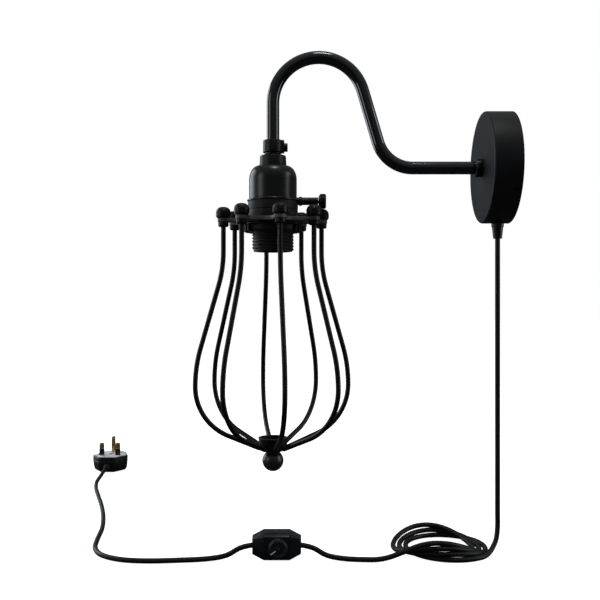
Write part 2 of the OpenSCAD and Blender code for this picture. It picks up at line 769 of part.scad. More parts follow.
module dimmer_base() color(plastic_black) at_dimmer() difference() {
    linear_extrude(dimmer_base_t) dimmer_outline(0);
    difference() {
        translate([0, 0, dimmer_wall]) linear_extrude(dimmer_base_t) dimmer_outline(dimmer_wall);
        dimmer_screw_spots() cylinder(r = 2.8, h = dimmer_base_t);
    }
    dimmer_entries(cord_r + running);
    dimmer_screw_spots() cylinder(r = 1.25, h = 3 * dimmer_t, center = true);
    dimmer_screw_spots() translate([0, 0, -1]) cylinder(r = 2.2, h = 2.6);
}

// The lid's form: upright sides up to the rim, then slopes to a flat around the knob
module dimmer_hip(from, wall) hull() {
    translate([0, 0, from]) linear_extrude(dimmer_rim_t - from - wall / 2) dimmer_outline(wall);
    translate([0, 0, dimmer_t - wall - 0.2]) linear_extrude(0.2)
        square([dimmer_flat[0] - wall, dimmer_flat[1] - wall], center = true);
}

module dimmer_lid() color(plastic_black) at_dimmer() difference() {
    dimmer_hip(dimmer_base_t + seat, 0);
    dimmer_hip(dimmer_base_t - 1, dimmer_wall);
    dimmer_entries(cord_r + running);
    translate([dimmer_knob_c[0], dimmer_knob_c[1], dimmer_t - 5])
        cylinder(r = dimmer_stem_r + running, h = 10);
}

module dimmer_knob() color(black_satin) at_dimmer()
    translate([dimmer_knob_c[0], dimmer_knob_c[1], dimmer_t + gap]) {
        rotate_extrude() rounded_section(dimmer_knob_d / 2, 0, dimmer_knob_t, 2.4);
        translate([0, 0, -gap - 4.4]) cylinder(r = dimmer_stem_r, h = gap + 5);
        translate([0, 0, dimmer_knob_t - 0.1]) cylinder(r = 1.5, h = 1.3);
    }

module dimmer_pot() color(steel) at_dimmer()
    translate([dimmer_knob_c[0] - 6, dimmer_knob_c[1] - 6, dimmer_t - 7.4]) cube([12, 12, 2.4]);

module dimmer_board() color([0.25, 0.35, 0.22]) at_dimmer()
    translate([-12, -8, dimmer_base_t - 4.6]) cube([24, 16, 1.4]);

module dimmer_screws() color(steel) at_dimmer() dimmer_screw_spots() {
    translate([0, 0, 0.2]) cylinder(r = 2.1, h = 1.3);
    translate([0, 0, 1.4]) cylinder(r = 1.2, h = dimmer_base_t - 2);
}

// ---- plug ----

module at_plug() {
    translate([plug_c[0], plug_c[1], floor_z]) children();
}

module plug_outline(inset) {
    hull() for (s = [-1, 1]) {
        translate([s * 7.5, 15]) circle(r = 10 - inset, $fn = 32);
        translate([s * 16, -5]) circle(r = 8 - inset, $fn = 32);
        translate([s * 8, -18.5]) circle(r = 6.5 - inset, $fn = 32);
    }
}

module pin_places(grow) {
    translate([0, earth_y]) square([4 + grow, 8 + grow], center = true);
    for (s = [-1, 1]) translate([s * pin_pitch / 2, line_y])
        square([6.35 + grow, 4 + grow], center = true);
}

module plug_cover() color(plastic_black) at_plug() difference() {
    linear_extrude(plug_cover_t) plug_outline(0);
    translate([0, 0, plug_wall]) linear_extrude(plug_cover_t) plug_outline(plug_wall);
    translate([0, -20, plug_entry_z]) rotate([90, 0, 0]) cylinder(r = 3.6 + seat, h = 10);
}

module plug_base() color(plastic_black) at_plug()
    translate([0, 0, plug_cover_t + seat]) difference() {
        linear_extrude(plug_base_t) plug_outline(0);
        translate([0, 0, -1]) linear_extrude(plug_base_t + 2) pin_places(2 * seat);
        translate([0, 2, -1]) cylinder(r = 1.8, h = plug_base_t + 2);
        translate([0, 2, plug_base_t - 2]) cylinder(r = 3.2, h = 3);
    }

module plug_card() color(card_white) at_plug()
    translate([0, 0, plug_t + seat + 0.02]) linear_extrude(card_t) difference() {
        plug_outline(1.6);
        pin_places(1);
        translate([0, 2]) circle(r = 3.6, $fn = 32);
    }

module plug_pins() color(brass) at_plug() {
    translate([-2, earth_y - 4, plug_cover_t - 3]) cube([4, 8, plug_base_t + 3 + seat + 22.7]);
    for (s = [-1, 1]) translate([s * pin_pitch / 2 - 2.575, line_y - 1.55, plug_cover_t - 3])
        cube([5.15, 3.1, plug_base_t + 3 + seat + 9.6]);
    for (s = [-1, 1]) translate([s * pin_pitch / 2 - 3.175, line_y - 2, plug_t + seat + 9.6])
        cube([6.35, 4, 8.1]);
}

module pin_sleeves() color(plastic_black) at_plug() for (s = [-1, 1])
    translate([s * pin_pitch / 2, line_y, plug_t + seat]) difference() {
        translate([-3.175, -2, -2]) cube([6.35, 4, 11.6]);
        translate([-2.625, -1.6, -3]) cube([5.25, 3.2, 14]);
    }

module plug_fuse() color(porcelain) at_plug()
    translate([-9, 4, 7]) rotate([90, 0, 0]) cylinder(r = 3.15, h = 25.4, center = true);

module plug_screw() color(steel) at_plug() {
    translate([0, 2, 4]) cylinder(r = 1.6, h = plug_t - 5.6);
    translate([0, 2, plug_t - 1.8]) difference() {
        cylinder(r = 2.9, h = 1.7);
        translate([-4, -0.4, 0.9]) cube([8, 0.8, 2]);
    }
}

module plug_grommet() color(plastic_black) at_plug()
    translate([0, -22, plug_entry_z]) rotate([90, 0, 0]) difference() {
        union() {
            cylinder(r = 3.6, h = grommet_len + 2);
            translate([0, 0, 3 + seat]) cylinder(r1 = 4.8, r2 = 4.2, h = grommet_len - 1);
        }
        translate([0, 0, -1]) cylinder(r = cord_r + running, h = grommet_len + 4);
    }

wall_plate();
rose_cup();
rose_screws();
rose_bush();
stop_pin();
terminal_block();
cable_gland();
gland_nut();
supply_lead();
arm_tube();
arm_boss();
arm_nipple();
stop_washer();
arm_nut();
arm_flex();
clamp_collar();
collar_screw();
holder_nipple();
holder_nut();
neck_ring();
holder_dome();
holder_skirt();
lamp_insert();
screw_shell();
centre_contact();
switch_barrel();
key_shaft();
key_knob();
cage_plate();
cap_nuts();
wire_collars();
shade_ring();
cage_wire(1);  // cage_wire_1
cage_wire(2);  // cage_wire_2
cage_wire(3);  // cage_wire_3
cage_wire(4);  // cage_wire_4
cage_wire(5);  // cage_wire_5
cage_wire(6);  // cage_wire_6
cage_wire(7);  // cage_wire_7
cage_wire(8);  // cage_wire_8
cage_hub();
ball_finial();
cord_drop();
cord_coil();
cord_lead();
cord_tail();
dimmer_base();
dimmer_lid();
dimmer_knob();
dimmer_pot();
dimmer_board();
dimmer_screws();
plug_cover();
plug_base();
plug_card();
plug_pins();
pin_sleeves();
plug_fuse();
plug_screw();
plug_grommet();
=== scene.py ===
import math
import bmesh
import bpy
from mathutils import Matrix, Vector


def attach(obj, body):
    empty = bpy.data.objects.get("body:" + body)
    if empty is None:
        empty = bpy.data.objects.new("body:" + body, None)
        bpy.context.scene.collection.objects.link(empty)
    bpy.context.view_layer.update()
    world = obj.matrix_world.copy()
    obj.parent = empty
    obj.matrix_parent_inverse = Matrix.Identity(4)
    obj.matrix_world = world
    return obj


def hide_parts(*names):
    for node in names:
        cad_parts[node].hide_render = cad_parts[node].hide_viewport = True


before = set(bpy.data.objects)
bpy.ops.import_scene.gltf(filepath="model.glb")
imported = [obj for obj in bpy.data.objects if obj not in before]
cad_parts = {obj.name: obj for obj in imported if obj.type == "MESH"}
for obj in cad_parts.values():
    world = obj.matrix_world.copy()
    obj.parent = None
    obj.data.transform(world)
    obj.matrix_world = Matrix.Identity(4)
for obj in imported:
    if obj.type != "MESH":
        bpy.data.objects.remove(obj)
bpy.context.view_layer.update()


# A piece's sizes, in millimetres and degrees unless it says otherwise, read by name
class Sizes(dict):
    __getattr__ = dict.__getitem__


mm = 0.001
quarter = math.radians(90)
scene = bpy.context.scene
scene.view_settings.view_transform = "Standard"


# The camera is level and looks along +Y
cameraSetup = Sizes(place=(-196.6, -750, -124), lens=47.9)
cameraData = bpy.data.cameras.new("mainCamera")
cameraData.lens = cameraSetup.lens
cameraData.clip_start, cameraData.clip_end = 0.02, 60
camera = bpy.data.objects.new("mainCamera", cameraData)
camera.location = Vector(cameraSetup.place) * mm
camera.rotation_euler = (quarter, 0, 0)
scene.collection.objects.link(camera)
scene.camera = camera
print("camera placed")


# Node helpers
def addNode(tree, kind, inputs=None, **settings):
    node = tree.nodes.new(kind)
    for key, value in settings.items():
        setattr(node, key, value)
    for key, value in (inputs or {}).items():
        if hasattr(value, "is_output"):
            tree.links.new(value, node.inputs[key])
        else:
            node.inputs[key].default_value = value
    return node


def newTree(name, kind, inputs, outputs):
    tree = bpy.data.node_groups.new(name, kind)
    for title, socketKind, value in inputs:
        socket = tree.interface.new_socket(title, in_out="INPUT", socket_type=socketKind)
        if value is not None:
            socket.default_value = value
    for title, socketKind in outputs:
        tree.interface.new_socket(title, in_out="OUTPUT", socket_type=socketKind)
    return tree, tree.nodes.new("NodeGroupInput"), tree.nodes.new("NodeGroupOutput")


def maths(tree, operation, first, second=0.0, clamp=False):
    return addNode(tree, "ShaderNodeMath", {0: first, 1: second},
                   operation=operation, use_clamp=clamp).outputs[0]


# Soft patches and a fine grain, for anything painted or moulded
skinTree, skinIn, skinOut = newTree(
    "paintSkin", "ShaderNodeTree",
    [("Patches per metre", "NodeSocketFloat", 45), ("Grain per metre", "NodeSocketFloat", 1200)],
    [("Patch", "NodeSocketFloat"), ("Grain", "NodeSocketFloat")])
skinPlace = addNode(skinTree, "ShaderNodeTexCoord").outputs["Object"]
skinPatch = addNode(skinTree, "ShaderNodeTexNoise", {
    "Vector": skinPlace, "Scale": skinIn.outputs["Patches per metre"], "Detail": 4,
    "Roughness": 0.55})
skinGrain = addNode(skinTree, "ShaderNodeTexNoise", {
    "Vector": skinPlace, "Scale": skinIn.outputs["Grain per metre"], "Detail": 2})
skinTree.links.new(skinPatch.outputs[0], skinOut.inputs["Patch"])
skinTree.links.new(skinGrain.outputs[0], skinOut.inputs["Grain"])

# Light dust that settles on faces that look up
dustTree, dustIn, dustOut = newTree(
    "restingDust", "ShaderNodeTree",
    [("Amount", "NodeSocketFloat", 0.2), ("Specks per metre", "NodeSocketFloat", 500)],
    [("Mask", "NodeSocketFloat")])
dustCoord = addNode(dustTree, "ShaderNodeTexCoord")
dustUp = addNode(dustTree, "ShaderNodeSeparateXYZ", {0: dustCoord.outputs["Normal"]}).outputs["Z"]
dustFacing = addNode(dustTree, "ShaderNodeMapRange", {
    0: dustUp, 1: 0.25, 2: 1.0, 3: 0.0, 4: 1.0}).outputs[0]
dustCloud = addNode(dustTree, "ShaderNodeTexNoise", {
    "Vector": dustCoord.outputs["Object"], "Scale": 60, "Detail": 5, "Roughness": 0.7})
dustSpeck = addNode(dustTree, "ShaderNodeTexNoise", {
    "Vector": dustCoord.outputs["Object"], "Scale": dustIn.outputs["Specks per metre"],
    "Detail": 2})
dustPile = addNode(dustTree, "ShaderNodeMapRange", {
    0: maths(dustTree, "MULTIPLY", dustCloud.outputs[0], dustSpeck.outputs[0]),
    1: 0.14, 2: 0.42, 3: 0.0, 4: 1.0}).outputs[0]
dustMask = maths(dustTree, "MULTIPLY", maths(dustTree, "MULTIPLY", dustFacing, dustPile),
                 dustIn.outputs["Amount"])
dustTree.links.new(dustMask, dustOut.inputs["Mask"])

# Fine drawn or turned lines, for bare metal
brushTree, brushIn, brushOut = newTree(
    "turnedLines", "ShaderNodeTree",
    [("Lines per metre", "NodeSocketFloat", 2500), ("Stretch", "NodeSocketVector", (0.1, 0.1, 1))],
    [("Line", "NodeSocketFloat")])
brushPlace = addNode(brushTree, "ShaderNodeVectorMath", {
    0: addNode(brushTree, "ShaderNodeTexCoord").outputs["Object"],
    1: brushIn.outputs["Stretch"]}, operation="MULTIPLY").outputs[0]
brushNoise = addNode(brushTree, "ShaderNodeTexNoise", {
    "Vector": brushPlace, "Scale": brushIn.outputs["Lines per metre"], "Detail": 3})
brushTree.links.new(brushNoise.outputs[0], brushOut.inputs["Line"])


# Finishes
def startFinish(name):
    material = bpy.data.materials.new(name)
    material.use_nodes = True
    tree = material.node_tree
    return material, tree, tree.nodes["Principled BSDF"]


def shadeOf(tree, factor, first, second):
    mixed = addNode(tree, "ShaderNodeMix", {0: factor}, data_type="RGBA")
    for index, colour in ((6, first), (7, second)):
        if hasattr(colour, "is_output"):
            tree.links.new(colour, mixed.inputs[index])
        else:
            mixed.inputs[index].default_value = (*colour, 1)
    return mixed.outputs[2]


def addBump(tree, shader, height, strength, depth):
    bump = addNode(tree, "ShaderNodeBump", {
        "Height": height, "Strength": strength, "Distance": depth * mm})
    tree.links.new(bump.outputs[0], shader.inputs["Normal"])


dustColour = (0.30, 0.29, 0.28)


# A painted or moulded finish: two tones, uneven gloss, grain and a little dust
def coatedFinish(name, dark, light, roughness, patches, grain, sizes):
    material, tree, shader = startFinish(name)
    skin = addNode(tree, "ShaderNodeGroup", node_tree=skinTree)
    skin.inputs["Patches per metre"].default_value = patches
    skin.inputs["Grain per metre"].default_value = grain
    spread = addNode(tree, "ShaderNodeMapRange", {
        0: skin.outputs["Patch"], 1: 0.35, 2: 0.68, 3: 0.0, 4: 1.0}).outputs[0]
    colour = shadeOf(tree, spread, dark, light)
    rough = addNode(tree, "ShaderNodeMapRange", {
        0: skin.outputs["Patch"], 1: 0.3, 2: 0.7, 3: roughness[0], 4: roughness[1]}).outputs[0]
    if sizes.get("dust"):
        dust = addNode(tree, "ShaderNodeGroup", node_tree=dustTree)
        dust.inputs["Amount"].default_value = sizes["dust"]
        colour = shadeOf(tree, dust.outputs[0], colour, dustColour)
        rough = maths(tree, "ADD", rough, maths(tree, "MULTIPLY", dust.outputs[0], 0.4), True)
    tree.links.new(colour, shader.inputs["Base Color"])
    tree.links.new(rough, shader.inputs["Roughness"])
    shader.inputs["Specular IOR Level"].default_value = sizes.get("specular", 0.5)
    shader.inputs["Coat Weight"].default_value = sizes.get("coat", 0)
    shader.inputs["Coat Roughness"].default_value = sizes.get("coatRough", 0.05)
    addBump(tree, shader, skin.outputs["Grain"], sizes.get("bump", 0.3), sizes.get("depth", 0.02))
    return material


# Bare metal: turned lines in the gloss, and tarnish in soft patches
def metalFinish(name, sizes):
    material, tree, shader = startFinish(name)
    skin = addNode(tree, "ShaderNodeGroup", node_tree=skinTree)
    skin.inputs["Patches per metre"].default_value = sizes["patches"]
    lines = addNode(tree, "ShaderNodeGroup", node_tree=brushTree)
    colour = shadeOf(tree, skin.outputs["Patch"], sizes["dark"], sizes["light"])
    low, high = sizes["rough"]
    rough = addNode(tree, "ShaderNodeMapRange", {
        0: lines.outputs["Line"], 1: 0.3, 2: 0.7, 3: low, 4: high}).outputs[0]
    tree.links.new(colour, shader.inputs["Base Color"])
    tree.links.new(rough, shader.inputs["Roughness"])
    shader.inputs["Metallic"].default_value = 1
    addBump(tree, shader, lines.outputs["Line"], 0.25, 0.01)
    return material


# Each finish: dark and light tone, least and most roughness, patches and grain per metre
finishes = {
    "armGloss": ((0.002, 0.0028, 0.0045), (0.005, 0.0065, 0.010), (0.10, 0.18), 30, 700,
        {"depth": 0.006, "coat": 0.6, "coatRough": 0.05, "dust": 0.03}),
    "roseSatin": ((0.005, 0.005, 0.0065), (0.009, 0.009, 0.011), (0.42, 0.52), 22, 2600,
        {"depth": 0.03, "bump": 0.4, "dust": 0.08, "specular": 0.3}),
    "domeGloss": ((0.0014, 0.0014, 0.0017), (0.003, 0.003, 0.0034), (0.26, 0.34), 60, 900,
        {"depth": 0.006, "dust": 0.03, "specular": 0.5}),
    "castBlack": ((0.002, 0.002, 0.0023), (0.0045, 0.0045, 0.005), (0.34, 0.48), 110, 1800,
        {"depth": 0.05, "bump": 0.45, "dust": 0.05, "specular": 0.35}),
    "skirtMatt": ((0.006, 0.006, 0.0063), (0.011, 0.011, 0.0115), (0.50, 0.64), 70, 2400,
        {"depth": 0.03, "bump": 0.4, "dust": 0.08, "specular": 0.35}),
    "cageBronze": ((0.0016, 0.0008, 0.0006), (0.006, 0.0024, 0.0018), (0.34, 0.48), 90, 2000,
        {"depth": 0.03, "bump": 0.4, "dust": 0.05, "specular": 0.3}),
    # The cage plate's tone is far lighter than the other cage parts: a painted highlight on the
    # same bronze-black finish
    "cagePlatePaintedHighlightBronze": ((0.07, 0.058, 0.051), (0.17, 0.142, 0.128), (0.38, 0.52), 70, 1600,
        {"depth": 0.04, "bump": 0.45, "dust": 0.15, "specular": 0.5}),
    # The ball finial's tone is lighter than the other cage parts: painted light, a lit copy of the
    # same bronze-black finish
    "finialPaintedLightBronze": ((0.009, 0.006, 0.0052), (0.030, 0.020, 0.018), (0.26, 0.38), 110, 1800,
        {"depth": 0.02, "dust": 0.06, "specular": 0.6}),
    # The dimmer knob's tone is lifted above the dimmer shell's: painted light on the knob's face,
    # same black plastic
    "dimmerKnobPaintedLight": ((0.009, 0.0098, 0.0108), (0.017, 0.018, 0.019), (0.30, 0.42), 120, 3200,
        {"depth": 0.02, "dust": 0.06, "specular": 0.3}),
    "cordSheath": ((0.0015, 0.0015, 0.0017), (0.0035, 0.0035, 0.004), (0.42, 0.55), 60, 3000,
        {"depth": 0.02, "bump": 0.3, "dust": 0.05, "specular": 0.3}),
    "dimmerShell": ((0.004, 0.005, 0.008), (0.008, 0.0095, 0.014), (0.22, 0.34), 80, 3200,
        {"depth": 0.02, "bump": 0.25, "dust": 0.06, "specular": 0.4}),
    "plugShell": ((0.0025, 0.0025, 0.003), (0.006, 0.006, 0.0065), (0.30, 0.42), 70, 3200,
        {"depth": 0.02, "bump": 0.25, "dust": 0.06, "specular": 0.4}),
    "cardWhite": ((0.80, 0.80, 0.82), (0.90, 0.90, 0.91), (0.55, 0.68), 160, 4000,
        {"depth": 0.01, "bump": 0.3}),
    "markRed": ((0.45, 0.06, 0.05), (0.58, 0.11, 0.09), (0.5, 0.6), 400, 4000, {}),
    "markGrey": ((0.06, 0.06, 0.07), (0.13, 0.13, 0.14), (0.5, 0.6), 400, 4000, {}),
    "pointerWhite": ((0.90, 0.91, 0.92), (0.95, 0.96, 0.97), (0.4, 0.5), 300, 3000, {}),
    "porcelain": ((0.66, 0.64, 0.60), (0.80, 0.79, 0.75), (0.10, 0.22), 130, 900,
        {"depth": 0.01, "coat": 0.4, "coatRough": 0.04}),
    "coreSheath": ((0.55, 0.55, 0.54), (0.66, 0.66, 0.65), (0.42, 0.55), 90, 2500, {}),
    "boardGreen": ((0.02, 0.07, 0.03), (0.04, 0.13, 0.06), (0.3, 0.45), 500, 3000, {}),
}
metals = {
    "brassMetal": {"dark": (0.52, 0.33, 0.12), "light": (0.80, 0.58, 0.27),
                   "rough": (0.18, 0.34), "patches": 160},
    "zincSteel": {"dark": (0.36, 0.37, 0.38), "light": (0.62, 0.63, 0.65),
                  "rough": (0.24, 0.42), "patches": 90},
}
finish = {name: coatedFinish(name, *row) for name, row in finishes.items()}
finish.update({name: metalFinish(name, sizes) for name, sizes in metals.items()})
print("finishes made:", len(finish))


# Mesh helpers
# Places: a move in millimetres, and a turn in degrees
def moved(x, y, z):
    return Matrix.Translation((x * mm, y * mm, z * mm))


def turnedBy(degrees, axis):
    return Matrix.Rotation(math.radians(degrees), 4, axis)


def smoothFaces(mesh, sharpAngle=38):
    mesh.shade_smooth()
    mesh.set_sharp_from_angle(angle=math.radians(sharpAngle))


def placed(name, data, material):
    obj = bpy.data.objects.new(name, data)
    scene.collection.objects.link(obj)
    data.materials.clear()
    data.materials.append(material)
    return obj


# Ends a bmesh as a mesh put in place
def meshFrom(name, bm, place=None):
    mesh = bpy.data.meshes.new(name)
    bm.to_mesh(mesh)
    bm.free()
    if place is not None:
        mesh.transform(place)
    return mesh


def pieceFrom(name, bm, material, place):
    mesh = meshFrom(name, bm, place)
    smoothFaces(mesh)
    return placed(name, mesh, material)


# The evaluated result of a live object, as a plain mesh object in its stead
def baked(obj, sharpAngle=38):
    bpy.context.view_layer.update()
    graph = bpy.context.evaluated_depsgraph_get()
    mesh = bpy.data.meshes.new_from_object(obj.evaluated_get(graph), depsgraph=graph)
    name, material = obj.name, obj.data.materials[0]
    mesh.transform(obj.matrix_world)
    bpy.data.objects.remove(obj)
    plain = placed(name, mesh, material)
    plain.name = name
    smoothFaces(mesh, sharpAngle)
    return plain


# Cuts the cutters out of a piece and removes them
def cutOut(obj, cutters):
    for cutter in cutters:
        modifier = obj.modifiers.new("cut", "BOOLEAN")
        modifier.operation, modifier.object, modifier.solver = "DIFFERENCE", cutter, "EXACT"
    result = baked(obj)
    for cutter in cutters:
        bpy.data.objects.remove(cutter)
    return result


def belong(obj, body, slot, *nodes):
    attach(obj, body)
    if nodes:
        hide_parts(*nodes)


# Corners given as (across, along, radius), each rounded by its radius
def roundedLine(corners, closed, steps=6):
    points, count = [], len(corners)
    for index, (across, along, radius) in enumerate(corners):
        here = Vector((across, along))
        if radius <= 0 or (not closed and index in (0, count - 1)):
            points.append(here)
            continue
        before = Vector(corners[index - 1][:2]) - here
        after = Vector(corners[(index + 1) % count][:2]) - here
        half = before.angle(after) / 2
        reach = min(radius / math.tan(half), before.length * 0.49, after.length * 0.49)
        centre = here + (before.normalized() + after.normalized()).normalized() * (
            reach / math.cos(half))
        first = here + before.normalized() * reach - centre
        last = here + after.normalized() * reach - centre
        sweep = first.angle(last)
        for step in range(steps + 1):
            part = step / steps
            points.append(centre + (first * math.sin((1 - part) * sweep)
                                    + last * math.sin(part * sweep)) / math.sin(sweep))
    return points


# A turned piece: corners in millimetres, spun about local z, then put in place
def turned(name, corners, material, place, closed=False, sides=96, steps=6):
    line = roundedLine(corners, closed, steps)
    bm = bmesh.new()
    rings = []
    for point in line:
        if point.x < 1e-6:
            rings.append([bm.verts.new((0, 0, point.y * mm))] * sides)
        else:
            rings.append([bm.verts.new((
                point.x * mm * math.cos(2 * math.pi * side / sides),
                point.x * mm * math.sin(2 * math.pi * side / sides), point.y * mm))
                for side in range(sides)])
    pairs = list(zip(rings, rings[1:])) + ([(rings[-1], rings[0])] if closed else [])
    for lower, upper in pairs:
        for side in range(sides):
            after = (side + 1) % sides
            corner = [lower[side], lower[after], upper[after], upper[side]]
            corner = [v for i, v in enumerate(corner) if v not in corner[:i]]
            if len(corner) > 2:
                bm.faces.new(corner)
    bmesh.ops.recalc_face_normals(bm, faces=bm.faces)
    return pieceFrom(name, bm, material, place)


# A flat piece from closed outlines in millimetres, with softened edges; later outlines are holes
def flatPiece(name, outlines, thick, soft, material, place):
    data = bpy.data.curves.new(name, "CURVE")
    data.dimensions, data.fill_mode = "2D", "BOTH"
    data.extrude, data.bevel_depth = (thick / 2 - soft) * mm, soft * mm
    data.offset, data.bevel_resolution = -soft * mm, 3
    for outline in outlines:
        spline = data.splines.new("POLY")
        spline.points.add(len(outline) - 1)
        spline.use_cyclic_u = True
        for point, (across, along) in zip(spline.points, outline):
            point.co = (across * mm, along * mm, 0, 1)
    obj = placed(name, data, material)
    plain = baked(obj)
    bm = bmesh.new()
    bm.from_mesh(plain.data)
    bmesh.ops.remove_doubles(bm, verts=bm.verts, dist=1e-6)
    bmesh.ops.recalc_face_normals(bm, faces=bm.faces)
    bm.to_mesh(plain.data)
    bm.free()
    plain.data.transform(place @ moved(0, 0, thick / 2))
    smoothFaces(plain.data, 30)
    return plain


def arcPoints(centre, radius, first, last, steps):
    return [(centre[0] + radius * math.cos(math.radians(first + (last - first) * k / steps)),
             centre[1] + radius * math.sin(math.radians(first + (last - first) * k / steps)))
            for k in range(steps + 1)]


# A curve through given points, even in speed
def smoothRoute(points, step):
    result = []
    points = [Vector(p) for p in points]
    for index in range(len(points) - 1):
        before = points[max(index - 1, 0)]
        here, there = points[index], points[index + 1]
        after = points[min(index + 2, len(points) - 1)]
        leave, arrive = (there - before) / 2, (after - here) / 2
        count = max(1, round((there - here).length / step))
        for k in range(count):
            t = k / count
            result.append((2*t**3 - 3*t**2 + 1) * here + (t**3 - 2*t**2 + t) * leave
                          + (3*t**2 - 2*t**3) * there + (t**3 - t**2) * arrive)
    return result + [points[-1]]


def lineCurve(name, points):
    data = bpy.data.curves.new(name, "CURVE")
    data.dimensions = "3D"
    spline = data.splines.new("POLY")
    spline.points.add(len(points) - 1)
    for point, place in zip(spline.points, points):
        point.co = (*(Vector(place) * mm), 1)
    return data


onWall = turnedBy(-90, "Y")  # local z points away from the wall


# Mains lead
cordSizes = Sizes(diameter=4.8, floor=-362, coilRadius=39, coilCentre=(-54.2, 12), shift=6,
                  layerHeight=5.1, step=4)
cordZ = cordSizes.floor + cordSizes.diameter / 2
dropRoute = [(-11, 0, -62), (-11, 0, -66.35), (-11, 0, -120), (-11, 0, -180), (-11, 0, -240),
             (-11, 0, -300), (-11, 0, -325), (-11, 0, -337), (-13, -2, -348.5),
             (-19, -8, -356.5), (-26.5, -15.5, cordZ)]
leadRoute = [(-80.5, -27, -344.9), (-88, -27, -346.5), (-95, -27, -349), (-105, -27, -353),
             (-115, -27, -356.8), (-125, -26.5, -359), (-136, -25.5, cordZ),
             (-155, -23, cordZ), (-172, -20, -357.5), (-184, -18, -351.5), (-195.5, -17, -349),
             (-200, -17, -349)]
tailRoute = [(-236, -17, -349), (-240.5, -17, -349), (-252, -18, -351.5), (-264, -20, -357.5),
             (-281, -23, cordZ), (-305, -27, cordZ), (-335, -29, cordZ), (-360, -25, cordZ),
             (-380, -12, cordZ), (-391, 8, cordZ), (-396, 35, cordZ), (-401, 75, cordZ),
             (-411, 120, cordZ), (-424, 165, cordZ), (-439, 210, cordZ), (-452, 250, cordZ),
             (-460, 285, cordZ), (-462, 315, -358), (-462, 330, -355.5), (-462, 342, -354.5),
             (-462, 352, -354.5)]


# Three turns that step sideways, and lie on each other where they cross at the near and far side
def coilRoute(sizes, turnsFrom, turnsTo, perTurn):
    layers = [0, 0, 1, 1, 2, 2, 3]
    points = []
    count = round((turnsTo - turnsFrom) * perTurn)
    for k in range(1, count + 1):
        turns = turnsFrom + (turnsTo - turnsFrom) * k / count
        angle = -2 * math.pi * turns
        crossing = max(0, min(6, round((turns - 0.25) * 2)))
        away = (turns - 0.25 - crossing / 2) * 2 * math.pi
        lift = sizes.layerHeight * layers[crossing] * math.cos(away) ** 2
        points.append((
            sizes.coilCentre[0] - sizes.shift * (turns - turnsFrom)
            + sizes.coilRadius * math.cos(angle),
            sizes.coilCentre[1] + sizes.coilRadius * math.sin(angle), cordZ + lift))
    return points


def makeCord(name, route, sizes):
    data = lineCurve(name, smoothRoute(route, sizes.step))
    data.bevel_depth = sizes.diameter / 2 * mm
    data.bevel_resolution = 5
    data.use_fill_caps = True
    return placed(name, data, finish["cordSheath"])


coil = coilRoute(cordSizes, 0.125, 3.25, 24)
cordToDimmer = makeCord("cordToDimmer", dropRoute + coil + leadRoute, cordSizes)
cordToPlug = makeCord("cordToPlug", tailRoute, cordSizes)
belong(cordToDimmer, "rose", "cord_pvc", "cord_drop", "cord_coil", "cord_lead")
belong(cordToPlug, "rose", "cord_pvc", "cord_tail")
print("cords laid")


# Stage and light
stageSizes = Sizes(radius=9, drop=0.0002)  # in metres
floorMaterial, floorTree, floorShader = startFinish("paleFloor")
floorSeen = addNode(floorTree, "ShaderNodeLightPath").outputs["Is Camera Ray"]
floorTree.links.new(shadeOf(floorTree, floorSeen, (0.05, 0.05, 0.052), (0.92, 0.92, 0.92)),
                    floorShader.inputs["Base Color"])
floorShader.inputs["Roughness"].default_value = 0.9
floorShader.inputs["Emission Color"].default_value = (1, 1, 1, 1)
floorTree.links.new(maths(floorTree, "MULTIPLY", floorSeen, 0.93),
                    floorShader.inputs["Emission Strength"])
# The floor is clear from its underside, so the lamp can be seen from below
underside = addNode(floorTree, "ShaderNodeNewGeometry").outputs["Backfacing"]
clear = addNode(floorTree, "ShaderNodeBsdfTransparent")
oneWay = addNode(floorTree, "ShaderNodeMixShader", {
    0: underside, 1: floorShader.outputs[0], 2: clear.outputs[0]})
floorTree.links.new(oneWay.outputs[0], floorTree.nodes["Material Output"].inputs["Surface"])
floorBm = bmesh.new()
bmesh.ops.create_circle(floorBm, cap_ends=True, radius=stageSizes.radius, segments=64)
floorBm.normal_update()
for face in floorBm.faces:
    if face.normal.z < 0:
        face.normal_flip()
floorPlace = Matrix.Translation((-0.2, 0, cordSizes.floor * mm - stageSizes.drop))
floor = placed("floor", meshFrom("floor", floorBm, floorPlace), floorMaterial)

# Area lamps: places and sizes in metres, power in watts
lamps = {
    "leftPanel": {"place": (-1.35, 0.72, 0.05), "size": (0.9, 1.5), "power": 13,
                  "colour": (0.80, 0.90, 1.0)},
    "rightPanel": {"place": (1.15, -0.15, 0.0), "size": (0.55, 1.5), "power": 7,
                   "colour": (0.96, 0.97, 1.0)},
    "leftFill": {"place": (-1.5, -0.7, 0.2), "size": (0.5, 0.9), "power": 2.5,
                 "colour": (1.0, 0.98, 0.96)},
    "topLamp": {"place": (-0.08, -0.35, 1.25), "size": (0.34, 0.12), "power": 3.2,
                "colour": (1.0, 1.0, 1.0)},
}
lampAim = (-0.2, 0, -0.05)
for lampName, lamp in lamps.items():
    lampData = bpy.data.lights.new(lampName, "AREA")
    lampData.shape = "RECTANGLE"
    lampData.size, lampData.size_y = lamp["size"]
    lampData.energy = lamp["power"]
    lampData.color = lamp["colour"]
    lampObject = bpy.data.objects.new(lampName, lampData)
    lampObject.location = lamp["place"]
    aim = Vector(lampAim) - Vector(lamp["place"])
    lampObject.rotation_euler = aim.to_track_quat("-Z", "Y").to_euler()
    scene.collection.objects.link(lampObject)

